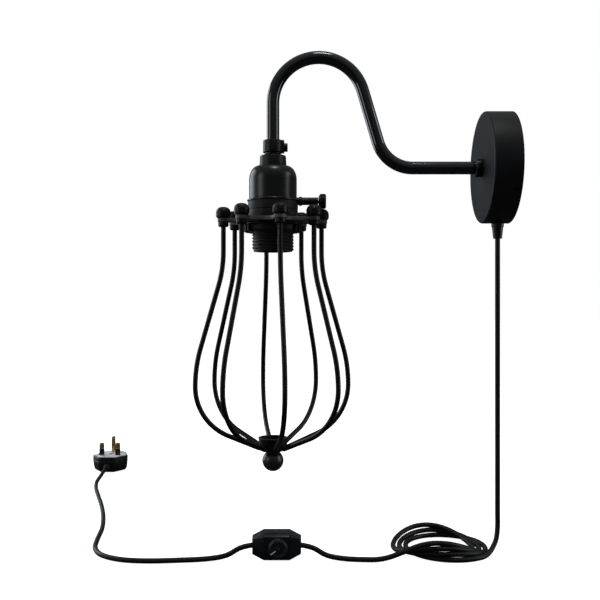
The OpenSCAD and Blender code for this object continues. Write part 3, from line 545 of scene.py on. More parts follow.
studio = bpy.data.worlds.new("studio")
studio.use_nodes = True
scene.world = studio
worldTree = studio.node_tree
worldTree.nodes.clear()
direction = addNode(worldTree, "ShaderNodeSeparateXYZ", {
    0: addNode(worldTree, "ShaderNodeTexCoord").outputs["Generated"]})
rise = addNode(worldTree, "ShaderNodeMapRange", {
    0: direction.outputs["Z"], 1: -0.1, 2: 0.9, 3: 0.03, 4: 0.30}).outputs[0]
around = addNode(worldTree, "ShaderNodeCombineColor", {
    0: maths(worldTree, "MULTIPLY", rise, 0.93), 1: maths(worldTree, "MULTIPLY", rise, 0.97),
    2: rise}).outputs[0]
unseen = addNode(worldTree, "ShaderNodeBackground", {"Color": around, "Strength": 1.0})
seen = addNode(worldTree, "ShaderNodeBackground", {"Color": (1, 1, 1, 1), "Strength": 1.0})
split = addNode(worldTree, "ShaderNodeMixShader", {
    0: addNode(worldTree, "ShaderNodeLightPath").outputs["Is Camera Ray"],
    1: unseen.outputs[0], 2: seen.outputs[0]})
addNode(worldTree, "ShaderNodeOutputWorld", {"Surface": split.outputs[0]})
print("stage and lights set")


# Ends a tree: its result as real geometry with the given finish
def endTree(tree, geometry, treeIn, treeOut):
    real = addNode(tree, "GeometryNodeRealizeInstances", {0: geometry})
    done = addNode(tree, "GeometryNodeSetMaterial", {
        "Geometry": real.outputs[0], "Material": treeIn.outputs["Finish"]})
    tree.links.new(done.outputs[0], treeOut.inputs[0])


# A round bar along a path
barTree, barIn, barOut = newTree(
    "barAlongPath", "GeometryNodeTree",
    [("Path", "NodeSocketGeometry", None), ("Radius", "NodeSocketFloat", 0.002),
     ("Sides", "NodeSocketInt", 24), ("Finish", "NodeSocketMaterial", None)],
    [("Mesh", "NodeSocketGeometry")])
barSection = addNode(barTree, "GeometryNodeCurvePrimitiveCircle", {
    "Resolution": barIn.outputs["Sides"], "Radius": barIn.outputs["Radius"]})
barMesh = addNode(barTree, "GeometryNodeCurveToMesh", {
    "Curve": barIn.outputs["Path"], "Profile Curve": barSection.outputs[0], "Fill Caps": True})
endTree(barTree, barMesh.outputs[0], barIn, barOut)

# Copies of one piece around the local z axis
ringTree, ringIn, ringOut = newTree(
    "copiesAroundAxis", "GeometryNodeTree",
    [("Piece", "NodeSocketGeometry", None), ("Count", "NodeSocketInt", 8),
     ("First angle", "NodeSocketFloat", 0.0), ("Finish", "NodeSocketMaterial", None)],
    [("Mesh", "NodeSocketGeometry")])
ringPoints = addNode(ringTree, "GeometryNodePoints", {"Count": ringIn.outputs["Count"]})
ringIndex = addNode(ringTree, "GeometryNodeInputIndex").outputs[0]
ringStep = maths(ringTree, "DIVIDE", 2 * math.pi, ringIn.outputs["Count"])
ringAngle = maths(ringTree, "ADD", maths(ringTree, "MULTIPLY", ringIndex, ringStep),
                  ringIn.outputs["First angle"])
ringTurn = addNode(ringTree, "ShaderNodeCombineXYZ", {"Z": ringAngle})
ringCopies = addNode(ringTree, "GeometryNodeInstanceOnPoints", {
    "Points": ringPoints.outputs[0], "Instance": ringIn.outputs["Piece"],
    "Rotation": ringTurn.outputs[0]})
endTree(ringTree, ringCopies.outputs[0], ringIn, ringOut)

# A screw thread's ridge about the local z axis
threadTree, threadIn, threadOut = newTree(
    "threadRidge", "GeometryNodeTree",
    [("Base", "NodeSocketGeometry", None), ("Radius", "NodeSocketFloat", 0.019),
     ("Turns", "NodeSocketFloat", 6.0), ("Length", "NodeSocketFloat", 0.02),
     ("Ridge", "NodeSocketFloat", 0.001), ("Sides", "NodeSocketInt", 6),
     ("Finish", "NodeSocketMaterial", None)],
    [("Mesh", "NodeSocketGeometry")])
threadSpiral = addNode(threadTree, "GeometryNodeCurveSpiral", {
    "Resolution": 72, "Rotations": threadIn.outputs["Turns"],
    "Start Radius": threadIn.outputs["Radius"], "End Radius": threadIn.outputs["Radius"],
    "Height": threadIn.outputs["Length"]})
threadLevel = addNode(threadTree, "GeometryNodeSetCurveNormal", {0: threadSpiral.outputs[0]})
threadLevel.mode = "Z_UP"
threadSection = addNode(threadTree, "GeometryNodeCurvePrimitiveCircle", {
    "Resolution": threadIn.outputs["Sides"], "Radius": threadIn.outputs["Ridge"]})
threadMesh = addNode(threadTree, "GeometryNodeCurveToMesh", {
    "Curve": threadLevel.outputs[0], "Profile Curve": threadSection.outputs[0],
    "Fill Caps": True})
threadBoth = addNode(threadTree, "GeometryNodeJoinGeometry")
threadTree.links.new(threadMesh.outputs[0], threadBoth.inputs[0])
threadTree.links.new(threadIn.outputs["Base"], threadBoth.inputs[0])
endTree(threadTree, threadBoth.outputs[0], threadIn, threadOut)


# Runs a tree on an object with inputs set by name, and leaves a plain mesh
def grown(obj, tree, inputs, place=None, sharpAngle=38):
    modifier = obj.modifiers.new(tree.name, "NODES")
    modifier.node_group = tree
    for item in tree.interface.items_tree:
        if item.item_type == "SOCKET" and item.in_out == "INPUT" and item.name in inputs:
            modifier[item.identifier] = inputs[item.name]
    result = baked(obj, sharpAngle)
    if place is not None:
        result.data.transform(place)
    return result


def sectionPiece(name, points, radius, sides, material, place=None):
    obj = placed(name, lineCurve(name, points), material)
    return grown(obj, barTree, {"Radius": radius * mm, "Sides": sides, "Finish": material}, place)


# Copies a piece around an axis
def around(obj, count, firstAngle, place):
    return grown(obj, ringTree, {"Count": count, "First angle": firstAngle,
                                 "Finish": obj.data.materials[0]}, place)


print("geometry trees built")


# Rose
roseSizes = Sizes(radius=52, depth=26, wall=1.2, edge=2, grubX=5, grubHole=2.2,
                  grubTurns=(0, 120, 240), glandX=11, glandHole=4.1, centreHole=7.3, drill=8)
r, d, w = roseSizes.radius, roseSizes.depth, roseSizes.wall
roseCup = turned("roseCup", [
    (roseSizes.centreHole, d, 0.2), (r, d, roseSizes.edge), (r, 0, 0.3), (r - w, 0, 0.3),
    (r - w, d - w, 0.9), (roseSizes.centreHole, d - w, 0)],
    finish["roseSatin"], onWall, closed=True, sides=160, steps=8)


# Cuts round holes; each is a centre, a direction, a radius and a length
def drilled(obj, holes, material):
    cutters = []
    for centre, axis, radius, length in holes:
        bm = bmesh.new()
        bmesh.ops.create_cone(bm, cap_ends=True, segments=40, radius1=radius * mm,
                              radius2=radius * mm, depth=length * mm)
        cutters.append(placed("cutter", meshFrom("cutter", bm, moved(*centre)
                              @ Vector(axis).to_track_quat("Z", "Y").to_matrix().to_4x4()),
                              material))
    return cutOut(obj, cutters)


roseHoles = [((-roseSizes.grubX, math.sin(math.radians(a)) * r, math.cos(math.radians(a)) * r),
              (0, math.sin(math.radians(a)), math.cos(math.radians(a))),
              roseSizes.grubHole, roseSizes.drill) for a in roseSizes.grubTurns]
roseHoles.append(((-roseSizes.glandX, 0, -r), (0, 0, 1), roseSizes.glandHole, roseSizes.drill))
roseCup = drilled(roseCup, roseHoles, finish["roseSatin"])
belong(roseCup, "rose", "satin_black", "rose_cup")

glandSizes = Sizes(x=11, top=-52.05, length=14.3, radius=5.75, tip=4.1, bore=2.42, neck=4.0,
                   rise=7)
g = glandSizes
glandBottom = g.top - g.length
gland = turned("cordGland", [
    (g.bore, glandBottom, 0), (g.tip, glandBottom, 0.5),
    (g.radius - 0.5, g.top - 3.4, 0.2), (g.radius, g.top - 3.2, 0.3),
    (g.radius, g.top, 0.3), (g.neck, g.top, 0), (g.neck, g.top + g.rise, 0.3),
    (g.bore, g.top + g.rise, 0)],
    finish["plugShell"], moved(-g.x, 0, 0), closed=True, sides=48)
belong(gland, "rose", "black_plastic", "cable_gland")
print("rose made")


# Arm
armSizes = Sizes(radius=6, reach=222, archRadius=43, archRise=60.8, lean=16.5, rootBend=34,
                 rootX=26.4, endZ=1.7, bossRadius=8.7, bossLength=6, bossBore=6.03)


# The arm's centre line, from the rose to the lampholder
def armLine(sizes, steps):
    lean = sizes.lean
    slope = math.radians(lean)
    archCentre = (-sizes.reach + sizes.archRadius, sizes.archRise)
    archEnd = (archCentre[0] + sizes.archRadius * math.cos(slope),
               archCentre[1] + sizes.archRadius * math.sin(slope))
    cornerX = archEnd[0] + archEnd[1] * math.tan(slope)
    cornerReach = sizes.rootBend * math.tan(math.radians((90 - lean) / 2))
    bendX = cornerX + cornerReach
    points = [(-sizes.rootX, 0), (-(sizes.rootX - bendX) / 2, 0)]
    points += arcPoints((bendX, sizes.rootBend), sizes.rootBend, -90, -180 + lean, steps)
    points += arcPoints(archCentre, sizes.archRadius, lean, 180, 2 * steps)
    points.append((-sizes.reach, sizes.endZ))
    return [(x, 0, z) for x, z in points]


armTube = sectionPiece("armTube", armLine(armSizes, 24), armSizes.radius, 48,
                       finish["armGloss"])
belong(armTube, "arm", "gloss_black", "arm_tube")
a = armSizes
bossEnd = a.rootX + a.bossLength
armBoss = turned("armBoss", [
    (a.bossBore, a.rootX, 0), (a.bossRadius, a.rootX, 0.4),
    (a.bossRadius, bossEnd, 2.2), (a.bossBore, bossEnd, 0.3)],
    finish["domeGloss"], onWall, closed=True, sides=64, steps=8)
belong(armBoss, "arm", "gloss_black", "arm_boss")

atHolder = moved(-armSizes.reach, 0, 0)
collarSizes = Sizes(radius=9.4, bottom=12.7, height=13, neck=7.6, bore=6.05, lugStart=6.5,
                    lugReach=10.6, lugWidth=11, screwRadius=4, screwHead=3.2, screwTip=6.2,
                    stem=2, slot=0.5, slotDepth=1.1)
c = collarSizes
clampCollar = turned("clampCollar", [
    (c.bore, c.bottom, 0), (c.neck, c.bottom, 0.2), (c.neck, c.bottom + 1.2, 0.2),
    (c.radius, c.bottom + 1.6, 0.5), (c.radius, c.bottom + c.height, 0.7),
    (c.bore, c.bottom + c.height, 0.2)],
    finish["castBlack"], atHolder, closed=True, sides=72)
belong(clampCollar, "arm", "gloss_black", "clamp_collar")


# A block with softened edges, lowest and highest corner in millimetres
def softBlock(name, low, high, soft, material, place=Matrix.Identity(4)):
    bm = bmesh.new()
    bmesh.ops.create_cube(bm, size=1)
    low, high = Vector(low), Vector(high)
    for vertex in bm.verts:
        vertex.co = Vector([low[k] + (high[k] - low[k]) * (vertex.co[k] + 0.5)
                            for k in range(3)]) * mm
    bmesh.ops.bevel(bm, geom=bm.edges, offset=soft * mm, segments=3, affect="EDGES", profile=0.5)
    return pieceFrom(name, bm, material, place)


collarLug = softBlock("collarLug", (c.lugStart, -c.lugWidth / 2, c.bottom + 1.8),
                      (c.lugReach, c.lugWidth / 2, c.bottom + c.height - 0.3), 0.5,
                      finish["castBlack"], atHolder)
belong(collarLug, "arm", "gloss_black")

sideways = atHolder @ moved(0, 0, c.bottom + c.height / 2) @ turnedBy(90, "Y")
headBack, headFront = c.lugReach + 0.02, c.lugReach + 0.02 + c.screwHead
collarScrew = turned("collarScrew", [
    (0, c.screwTip, 0), (c.stem, c.screwTip, 0), (c.stem, headBack, 0),
    (c.screwRadius, headBack, 0.2), (c.screwRadius, headFront, 0.7), (0, headFront, 0)],
    finish["castBlack"], sideways, sides=48)
slotCut = softBlock("slotCut", (-c.slot, -6, headFront - c.slotDepth),
                    (c.slot, 6, headFront + 2), 0.05, finish["castBlack"], sideways)
collarScrew = cutOut(collarScrew, [slotCut])
belong(collarScrew, "arm", "gloss_black", "collar_screw")
print("arm made")


# Lampholder
holderSizes = Sizes(top=1.3, domeRadius=22.4, domeCorner=9, domeBottom=-31.6, wall=1,
                    beadRadius=24.2, skirtRadius=23.5, shoulder=-48.0, threadRadius=19.8,
                    threadDepth=1.6, threadBottom=-78.6, pitch=3, bore=17.5, hole=5.5, groove=7.2,
                    skirtWall=1.3, skirtInside=-41)
h = holderSizes
shoulderRound = Sizes(across=8.2, down=12.5)
shoulderArc = [(h.domeRadius - shoulderRound.across * (1 - math.cos(a)),
                h.top - shoulderRound.down * (1 - math.sin(a)), 0)
               for a in (math.radians(90 - 6 * step) for step in range(1, 16))]
dome = turned("holderDome", [
    (h.hole, h.top, 0), (h.domeRadius - shoulderRound.across - 0.5, h.top, 0.4), *shoulderArc,
    (h.domeRadius, h.domeBottom + 2.0, 0.5), (h.beadRadius, h.domeBottom + 1.6, 0.7),
    (h.beadRadius, h.domeBottom, 0.7), (h.domeRadius - h.wall, h.domeBottom, 0),
    (h.domeRadius - h.wall, h.top - h.wall, h.domeCorner - h.wall),
    (h.hole, h.top - h.wall, 0)],
    finish["domeGloss"], atHolder, closed=True, sides=128, steps=12)
belong(dome, "holder", "gloss_black", "holder_dome")

neckSizes = Sizes(bore=6.08, bottom=1.32, top=11.3, radius=12.8, upper=12.2)
neckRing = turned("neckRing", [
    (neckSizes.bore, neckSizes.bottom, 0), (neckSizes.radius, neckSizes.bottom, 0.5),
    (neckSizes.upper, neckSizes.top, 0.9), (neckSizes.bore, neckSizes.top, 0.3)],
    finish["castBlack"], atHolder, closed=True, sides=80)
belong(neckRing, "holder", "gloss_black", "neck_ring")

skirtTop = h.domeBottom - 0.1
threadCore = h.threadRadius - h.threadDepth
threadStart = h.threadBottom + 2
threadLength = h.shoulder - threadStart - 2
out, inside = h.skirtRadius, h.skirtRadius - h.skirtWall
groove = h.shoulder + h.groove
skirt = turned("holderSkirt", [
    (h.bore, h.threadBottom, 0.3), (threadCore, h.threadBottom, 0.8),
    (threadCore, h.shoulder, 0), (out, h.shoulder, 0.5), (out, groove, 0.3),
    (out - 0.5, groove + 0.3, 0.2), (out - 0.5, groove + 1.1, 0.2), (out, groove + 1.4, 0.3),
    (out, skirtTop, 0.4), (inside, skirtTop, 0), (inside, h.skirtInside, 0),
    (h.bore, h.skirtInside, 0)],
    finish["skirtMatt"], moved(0, 0, -threadStart), closed=True, sides=128)
skirt = grown(skirt, threadTree, {
    "Radius": (threadCore + 0.1) * mm, "Turns": threadLength / h.pitch,
    "Length": threadLength * mm, "Ridge": 1.35 * mm, "Sides": 6, "Finish": finish["skirtMatt"]},
    atHolder @ moved(0, 0, threadStart))
belong(skirt, "holder", "charcoal_metal", "holder_skirt")

shellSizes = Sizes(radius=13.9, bore=13.4, bottom=-74.2, top=-50.2, pitch=3.62)
shellLength = shellSizes.top - shellSizes.bottom
shell = turned("screwShell", [
    (shellSizes.bore, 0, 0), (shellSizes.radius, 0, 0),
    (shellSizes.radius, shellLength, 0), (shellSizes.bore, shellLength, 0)],
    finish["brassMetal"], Matrix.Identity(4), closed=True, sides=72)
shell = grown(shell, threadTree, {
    "Radius": (shellSizes.bore + 0.1) * mm, "Turns": (shellLength - 3) / shellSizes.pitch,
    "Length": (shellLength - 3) * mm, "Ridge": 0.45 * mm, "Sides": 8,
    "Finish": finish["brassMetal"]},
    atHolder @ moved(0, 0, shellSizes.bottom))
belong(shell, "holder", "brass_bush", "screw_shell")

keySizes = Sizes(z=-31.3, barrel=3.6, bore=2.05, start=18.4, end=42.4, bandStart=24.5,
                 bandEnd=27.2, band=0.7, knobStart=42.8, knobRadius=7, knobLength=7, dish=2.8,
                 ridges=26, ridge=0.42)
k = keySizes
atKey = atHolder @ moved(0, 0, k.z) @ turnedBy(90, "Y")
barrel = turned("switchBarrel", [
    (k.bore, k.start, 0), (k.barrel, k.start, 0),
    (k.barrel, k.bandStart - 0.1, 0.2), (k.barrel + k.band, k.bandStart, 0.3),
    (k.barrel + k.band, k.bandEnd, 0.4), (k.barrel, k.bandEnd + 0.2, 0.2),
    (k.barrel, k.end, 0.4), (k.bore, k.end, 0)],
    finish["castBlack"], atKey, closed=True, sides=48)
belong(barrel, "holder", "gloss_black", "switch_barrel")
knobEnd = k.knobStart + k.knobLength
keyCore = turned("keyKnob", [
    (0, k.knobStart, 0), (4.6, k.knobStart, 0.3),
    (k.knobRadius - 0.5, k.knobStart + 1.4, 0.4), (k.knobRadius - 0.5, knobEnd, 0.8),
    (k.dish + 0.6, knobEnd, 0.4), (k.dish, knobEnd - 0.5, 0.3), (0, knobEnd - 0.5, 0)],
    finish["castBlack"], atKey, sides=64)
belong(keyCore, "key", "charcoal_metal", "key_knob")
ridge = softBlock("keyRidges", (k.knobRadius - 0.9, -k.ridge, k.knobStart + 1.5),
                  (k.knobRadius, k.ridge, knobEnd - 0.5), 0.25, finish["castBlack"])
keyRidges = around(ridge, k.ridges, 0.0, atKey)
belong(keyRidges, "key", "charcoal_metal")
print("lampholder made")


# Cage
cageSizes = Sizes(wires=8, first=-80, wire=2.3, neck=46.5, belly=72.5, lean=16, flareRadius=118,
                  shoulderRadius=130, toeRadius=50.5, toeAngle=67, wireTop=-41.8, flareZ=-78.5,
                  hubEntry=12.5, plateTop=-48.1, plateThick=3.5, lobe=5.4, valley=33,
                  plateBore=20.2)
k = cageSizes
firstAngle = math.radians(k.first)


# One wire's centre line, out from the axis and down from the plate to the hub
def wireLine(sizes, steps):
    lean, toe = sizes.lean, sizes.toeAngle
    points = [(sizes.neck, sizes.wireTop),
              (sizes.neck, (sizes.wireTop + sizes.flareZ) / 2)]
    points += arcPoints((sizes.neck + sizes.flareRadius, sizes.flareZ),
                        sizes.flareRadius, 180, 180 + lean, steps)
    shoulderStart = sizes.belly - sizes.shoulderRadius * (1 - math.cos(math.radians(lean)))
    fall = (shoulderStart - points[-1][0]) / math.tan(math.radians(lean))
    bellyZ = points[-1][1] - fall - sizes.shoulderRadius * math.sin(math.radians(lean))
    points += arcPoints((sizes.belly - sizes.shoulderRadius, bellyZ),
                        sizes.shoulderRadius, lean, 0, steps)
    points += arcPoints((sizes.belly - sizes.toeRadius, bellyZ), sizes.toeRadius,
                        0, -toe, 2 * steps)[1:]
    last = points[-1]
    drop = (last[0] - sizes.hubEntry) / math.tan(math.radians(toe))
    return [(x, 0, z) for x, z in points + [(sizes.hubEntry, last[1] - drop)]]


wirePath = wireLine(k, 16)
oneWire = sectionPiece("cageWires", wirePath, k.wire, 20, finish["cageBronze"])
cageWires = around(oneWire, k.wires, firstAngle, atHolder)
belong(cageWires, "holder", "bronze_black", *[f"cage_wire_{n}" for n in range(1, 9)])

# The plate's outline: a lobe at each wire and a hollow curve between lobes
half = math.pi / k.wires
hollowAt = (k.valley - k.lobe) / (1 - math.sin(half))
hollowRadius = hollowAt - k.valley
plateOutline = []
for n in range(k.wires):
    turn = Matrix.Rotation(firstAngle + n * 2 * half, 2)
    sector = arcPoints((k.neck, 0), k.lobe, -90, 90, 16)
    centre = (hollowAt * math.cos(half), hollowAt * math.sin(half))
    middle = math.degrees(half) + 180
    sector += arcPoints(centre, hollowRadius, 270, middle * 2 - 270, 18)
    plateOutline += [tuple(turn @ Vector(point)) for point in sector]
plateHole = arcPoints((0, 0), k.plateBore, 0, 360, 96)[:-1]
plateBottom = k.plateTop - k.plateThick
cagePlate = flatPiece("cagePlate", [plateOutline, plateHole], k.plateThick, 0.45,
                      finish["cagePlatePaintedHighlightBronze"],
                      atHolder @ moved(0, 0, plateBottom))
belong(cagePlate, "holder", "bronze_black", "cage_plate")

capSizes = Sizes(radius=7, height=10.5, round=5.5, collar=4.9, collarHeight=4.5, bore=2.4)
q = capSizes
capBase = k.plateTop + 0.02
atWire = moved(k.neck, 0, 0)
domeStart = capBase + q.height - q.round
capDome = [(x, z, 0) for x, z in arcPoints((q.radius - q.round, domeStart), q.round,
                                            0, 90, 10)]
cap = turned("capNuts", [
    (0, capBase, 0), (q.radius - 1, capBase, 0.3), (q.radius - 0.7, capBase + 1, 0.3),
    (q.radius, capBase + 1.4, 0.4), *capDome, (0, capBase + q.height, 0)],
    finish["cageBronze"], atWire, sides=48)
caps = around(cap, k.wires, firstAngle, atHolder)
belong(caps, "holder", "bronze_black", "cap_nuts")
collarTop = plateBottom - 0.02
collarFoot = collarTop - q.collarHeight
collar = turned("wireCollars", [
    (q.bore, collarFoot, 0), (q.collar - 0.9, collarFoot, 0.3),
    (q.collar, collarFoot + 1.0, 0.4), (q.collar, collarTop, 0.2),
    (q.bore, collarTop, 0)],
    finish["cageBronze"], atWire, closed=True, sides=40)
collars = around(collar, k.wires, firstAngle, atHolder)
belong(collars, "holder", "bronze_black", "wire_collars")

ringSizes = Sizes(top=-51.7, flange=27, radius=23.6, height=9.4, bore=19.95, ribs=6, rib=1.15,
                  grip=27, fan=13)
q = ringSizes
ringBottom = q.top - q.height
shadeRing = turned("shadeRing", [
    (q.bore, ringBottom, 0.2), (q.radius - 1.4, ringBottom, 0.6),
    (q.radius, ringBottom + 2.4, 1.2), (q.radius + 0.4, q.top - 2.4, 0.8),
    (q.flange, q.top - 1.8, 0.4), (q.flange, q.top, 0.4), (q.bore, q.top, 0.2)],
    finish["skirtMatt"], atHolder, closed=True, sides=96)
belong(shadeRing, "holder", "charcoal_metal", "shade_ring")
for n in range(2 * q.ribs):
    side, place = divmod(n, q.ribs)
    angle = 180 * side + (place - (q.ribs - 1) / 2) * q.fan
    rib = softBlock(f"ringGrip{n + 1}", (q.radius - 1.5, -q.rib, ringBottom + 0.5),
                    (q.grip, q.rib, q.top - 1.4), 0.8, finish["skirtMatt"],
                    atHolder @ turnedBy(angle, "Z"))
    belong(rib, "holder", "charcoal_metal")

hubSizes = Sizes(radius=13.3, height=12, wall=2.4, floor=4, hole=3.1, ball=10, neck=6.9, stem=3)
q = hubSizes
hubBottom = wirePath[-1][2] - k.wire + 0.4
hubTop, hubFloor = hubBottom + q.height, hubBottom + q.floor
hub = turned("cageHub", [
    (q.hole, hubBottom, 0), (q.radius - 1.2, hubBottom, 0.5),
    (q.radius, hubBottom + 1.4, 0.8), (q.radius, hubTop - 1.6, 0.3),
    (q.radius + 0.5, hubTop - 1.2, 0.4), (q.radius + 0.5, hubTop, 0.5),
    (q.radius - q.wall, hubTop, 0.6), (q.radius - q.wall, hubFloor, 0.8),
    (q.hole, hubFloor, 0)],
    finish["cageBronze"], atHolder, closed=True, sides=80)
belong(hub, "holder", "bronze_black", "cage_hub")
ballZ = hubBottom - 1.2 - q.ball + 1.4
ballPoints = [(max(q.ball * math.cos(math.radians(a)), 0 if a == -90 else 1e-3),
               ballZ + q.ball * math.sin(math.radians(a)), 0) for a in range(-90, 49, 6)]
finial = turned("ballFinial", ballPoints + [
    (q.neck, hubBottom - 1.3, 0.2), (q.neck, hubBottom - 0.1, 0.3),
    (q.stem, hubBottom - 0.1, 0), (q.stem, hubFloor + 1.5, 0.3), (0, hubFloor + 1.5, 0)],
    finish["finialPaintedLightBronze"], atHolder, sides=72)
belong(finial, "holder", "bronze_black", "ball_finial")
print("cage made")


# Dimmer
dimmerSizes = Sizes(place=(-218, -8.5, -349), length=45, width=26, base=8, total=17, cutX=10.6,
                    cutY=5.6, plateauX=11.6, plateauY=9.8, rim=12.4, knobX=1.5, knobRadius=9,
                    knobHeight=5.5, grips=36, stem=3, pointer=(2.4, 8.0, 0.42), pointerTurn=214)
q = dimmerSizes
atDimmer = moved(*q.place) @ turnedBy(90, "X")


def octagon(sizes, inset, height):
    across, along = sizes.length / 2 - inset, sizes.width / 2 - inset
    return [(sx * x, sy * y, height) for sx in (1, -1) for sy in (1, -1)
            for x, y in ((across, along - sizes.cutY), (across - sizes.cutX, along))]


# A flat-faced block around its corner points, with softened edges
def facetBlock(name, corners, soft, material, place):
    bm = bmesh.new()
    for corner in corners:
        bm.verts.new(Vector(corner) * mm)
    bmesh.ops.convex_hull(bm, input=bm.verts)
    bmesh.ops.dissolve_limit(bm, angle_limit=0.02, verts=bm.verts, edges=bm.edges)
    bmesh.ops.bevel(bm, geom=bm.edges, offset=soft * mm, segments=3, affect="EDGES", profile=0.5)
    bmesh.ops.recalc_face_normals(bm, faces=bm.faces)
    return pieceFrom(name, bm, material, place)


dimmerBack = facetBlock("dimmerBack", octagon(q, 1.4, 0) + octagon(q, 0, 1.4)
                        + octagon(q, 0, q.base), 0.35, finish["dimmerShell"], atDimmer)
belong(dimmerBack, "rose", "black_plastic", "dimmer_base")
plateau = [(sx * q.plateauX, sy * q.plateauY, q.total)
           for sx in (1, -1) for sy in (1, -1)]
dimmerFront = facetBlock("dimmerFront", octagon(q, 0.15, q.base + 0.15)
                         + octagon(q, 0.15, q.rim) + plateau, 0.5,
                         finish["dimmerShell"], atDimmer)
belong(dimmerFront, "rose", "black_plastic", "dimmer_lid")
atKnob = atDimmer @ moved(q.knobX, 0, 0)
knobBase = q.total + 0.4
knobTop = knobBase + q.knobHeight
dimmerKnob = turned("dimmerKnob", [
    (0, knobBase - 4, 0), (q.stem, knobBase - 4, 0), (q.stem, knobBase, 0),
    (q.knobRadius, knobBase, 0.4),
    (q.knobRadius - 0.3, knobTop - 1.2, 1.0), (6.9, knobTop, 0.6), (5.6, knobTop - 0.7, 0.8),
    (1.9, knobTop - 0.7, 0.3), (1.6, knobTop + 0.9, 0.6), (0, knobTop + 0.9, 0)],
    finish["dimmerKnobPaintedLight"], atKnob, sides=72)
belong(dimmerKnob, "dimmer_dial", "black_plastic", "dimmer_knob")
knobGrip = softBlock("dimmerKnobRidges", (q.knobRadius - 0.9, -0.32, knobBase + 0.4),
                     (q.knobRadius, 0.32, knobTop - 1.5), 0.2, finish["dimmerKnobPaintedLight"])
knobGrips = around(knobGrip, q.grips, 0.0, atKnob)
belong(knobGrips, "dimmer_dial", "black_plastic")
near, far, wide = q.pointer
pointer = softBlock("knobPointer", (near, -wide, knobTop - 0.9), (far, wide, knobTop + 0.12), 0.1,
                    finish["pointerWhite"], atKnob @ turnedBy(q.pointerTurn, "Z"))
belong(pointer, "dimmer_dial", "white_card")
print("dimmer made")


# Plug
plugSizes = Sizes(place=(-462, 373, -362), cover=15, base=6, seat=0.1, card=0.6, pitch=22.2,
                  earthY=13.5, entryZ=7.5, earthHole=(5, 9), lineHole=(7.35, 5),
                  screwHole=(2, 3.6), hollow=Sizes(depth=2.6, along=-12.5, spread=6, height=13),
                  corners=[(7.5, 15, 10), (16, -5, 8), (8, -18.5, 6.5)])
q = plugSizes
atPlug = moved(*q.place)


# The plug's rounded outline, drawn in from its full size by inset
def plugLine(sizes, inset, count=120):
    rounds = [(side * x, y, r) for x, y, r in sizes.corners for side in (1, -1)]
    points = []
    for k in range(count):
        angle = 2 * math.pi * k / count
        nx, ny = math.cos(angle), math.sin(angle)
        x, y, r = max(rounds, key=lambda c: c[0] * nx + c[1] * ny + c[2])
        points.append((x + (r - inset) * nx, y + (r - inset) * ny))
    return points


# A shell from stacked outlines, each given as a height and how far its line is drawn in
def stacked(name, levels, line, material, place):
    bm = bmesh.new()
    rings = [[bm.verts.new((x * mm, y * mm, height * mm)) for x, y in line(height, inset)]
             for height, inset in levels]
    for lower, upper in zip(rings, rings[1:]):
        for i in range(len(lower)):
            j = (i + 1) % len(lower)
            bm.faces.new((lower[i], lower[j], upper[j], upper[i]))
    bm.faces.new(rings[0][::-1])
    bm.faces.new(rings[-1])
    bmesh.ops.recalc_face_normals(bm, faces=bm.faces)
    return pieceFrom(name, bm, material, place)


# Finger hollows in the cover's sides, deepest near the back
def gripLine(height, inset):
    points = []
    grip = plugSizes.hollow
    fade = max(0.0, 1 - height / grip.height)
    for x, y in plugLine(plugSizes, inset):
        hollow = grip.depth * math.exp(-((y - grip.along) / grip.spread) ** 2) * fade
        points.append((x - math.copysign(min(hollow, abs(x)), x), y))
    return points


coverLevels = [(0, 6.5), (0.25, 4.8), (0.9, 3.2), (2.2, 1.9), (4.2, 1.1), (7, 0.6), (10, 0.3),
               (13, 0.1), (14.6, 0), (q.cover, 0.3)]
plugCover = stacked("plugCover", coverLevels, gripLine, finish["plugShell"], atPlug)
belong(plugCover, "rose", "black_plastic", "plug_cover")
baseBottom = q.cover + q.seat
baseTop = baseBottom + q.base
plugBase = stacked("plugBase", [
    (baseBottom, 0.3), (baseBottom + 0.3, 0), (baseTop - 0.9, 0), (baseTop - 0.4, 0.15),
    (baseTop - 0.1, 0.5), (baseTop, 0.9)],
    lambda height, inset: plugLine(plugSizes, inset), finish["plugShell"], atPlug)
belong(plugBase, "rose", "black_plastic", "plug_base")


def oblong(centre, across, along):
    return [(centre[0] + sx * across / 2, centre[1] + sy * along / 2)
            for sx, sy in ((-1, -1), (1, -1), (1, 1), (-1, 1))]


lineY = q.earthY - q.pitch
cardHoles = [oblong((0, q.earthY), *q.earthHole)] + [
    oblong((side * q.pitch / 2, lineY), *q.lineHole) for side in (-1, 1)]
cardHoles.append(arcPoints((0, q.screwHole[0]), q.screwHole[1], 0, 360, 32)[:-1])
cardBottom = baseTop + 0.02
plugCard = flatPiece("plugCard", [plugLine(q, 1.6)] + cardHoles, q.card, 0.08,
                     finish["cardWhite"], atPlug @ moved(0, 0, cardBottom))
belong(plugCard, "rose", "white_card", "plug_card")
cardTop = cardBottom + q.card

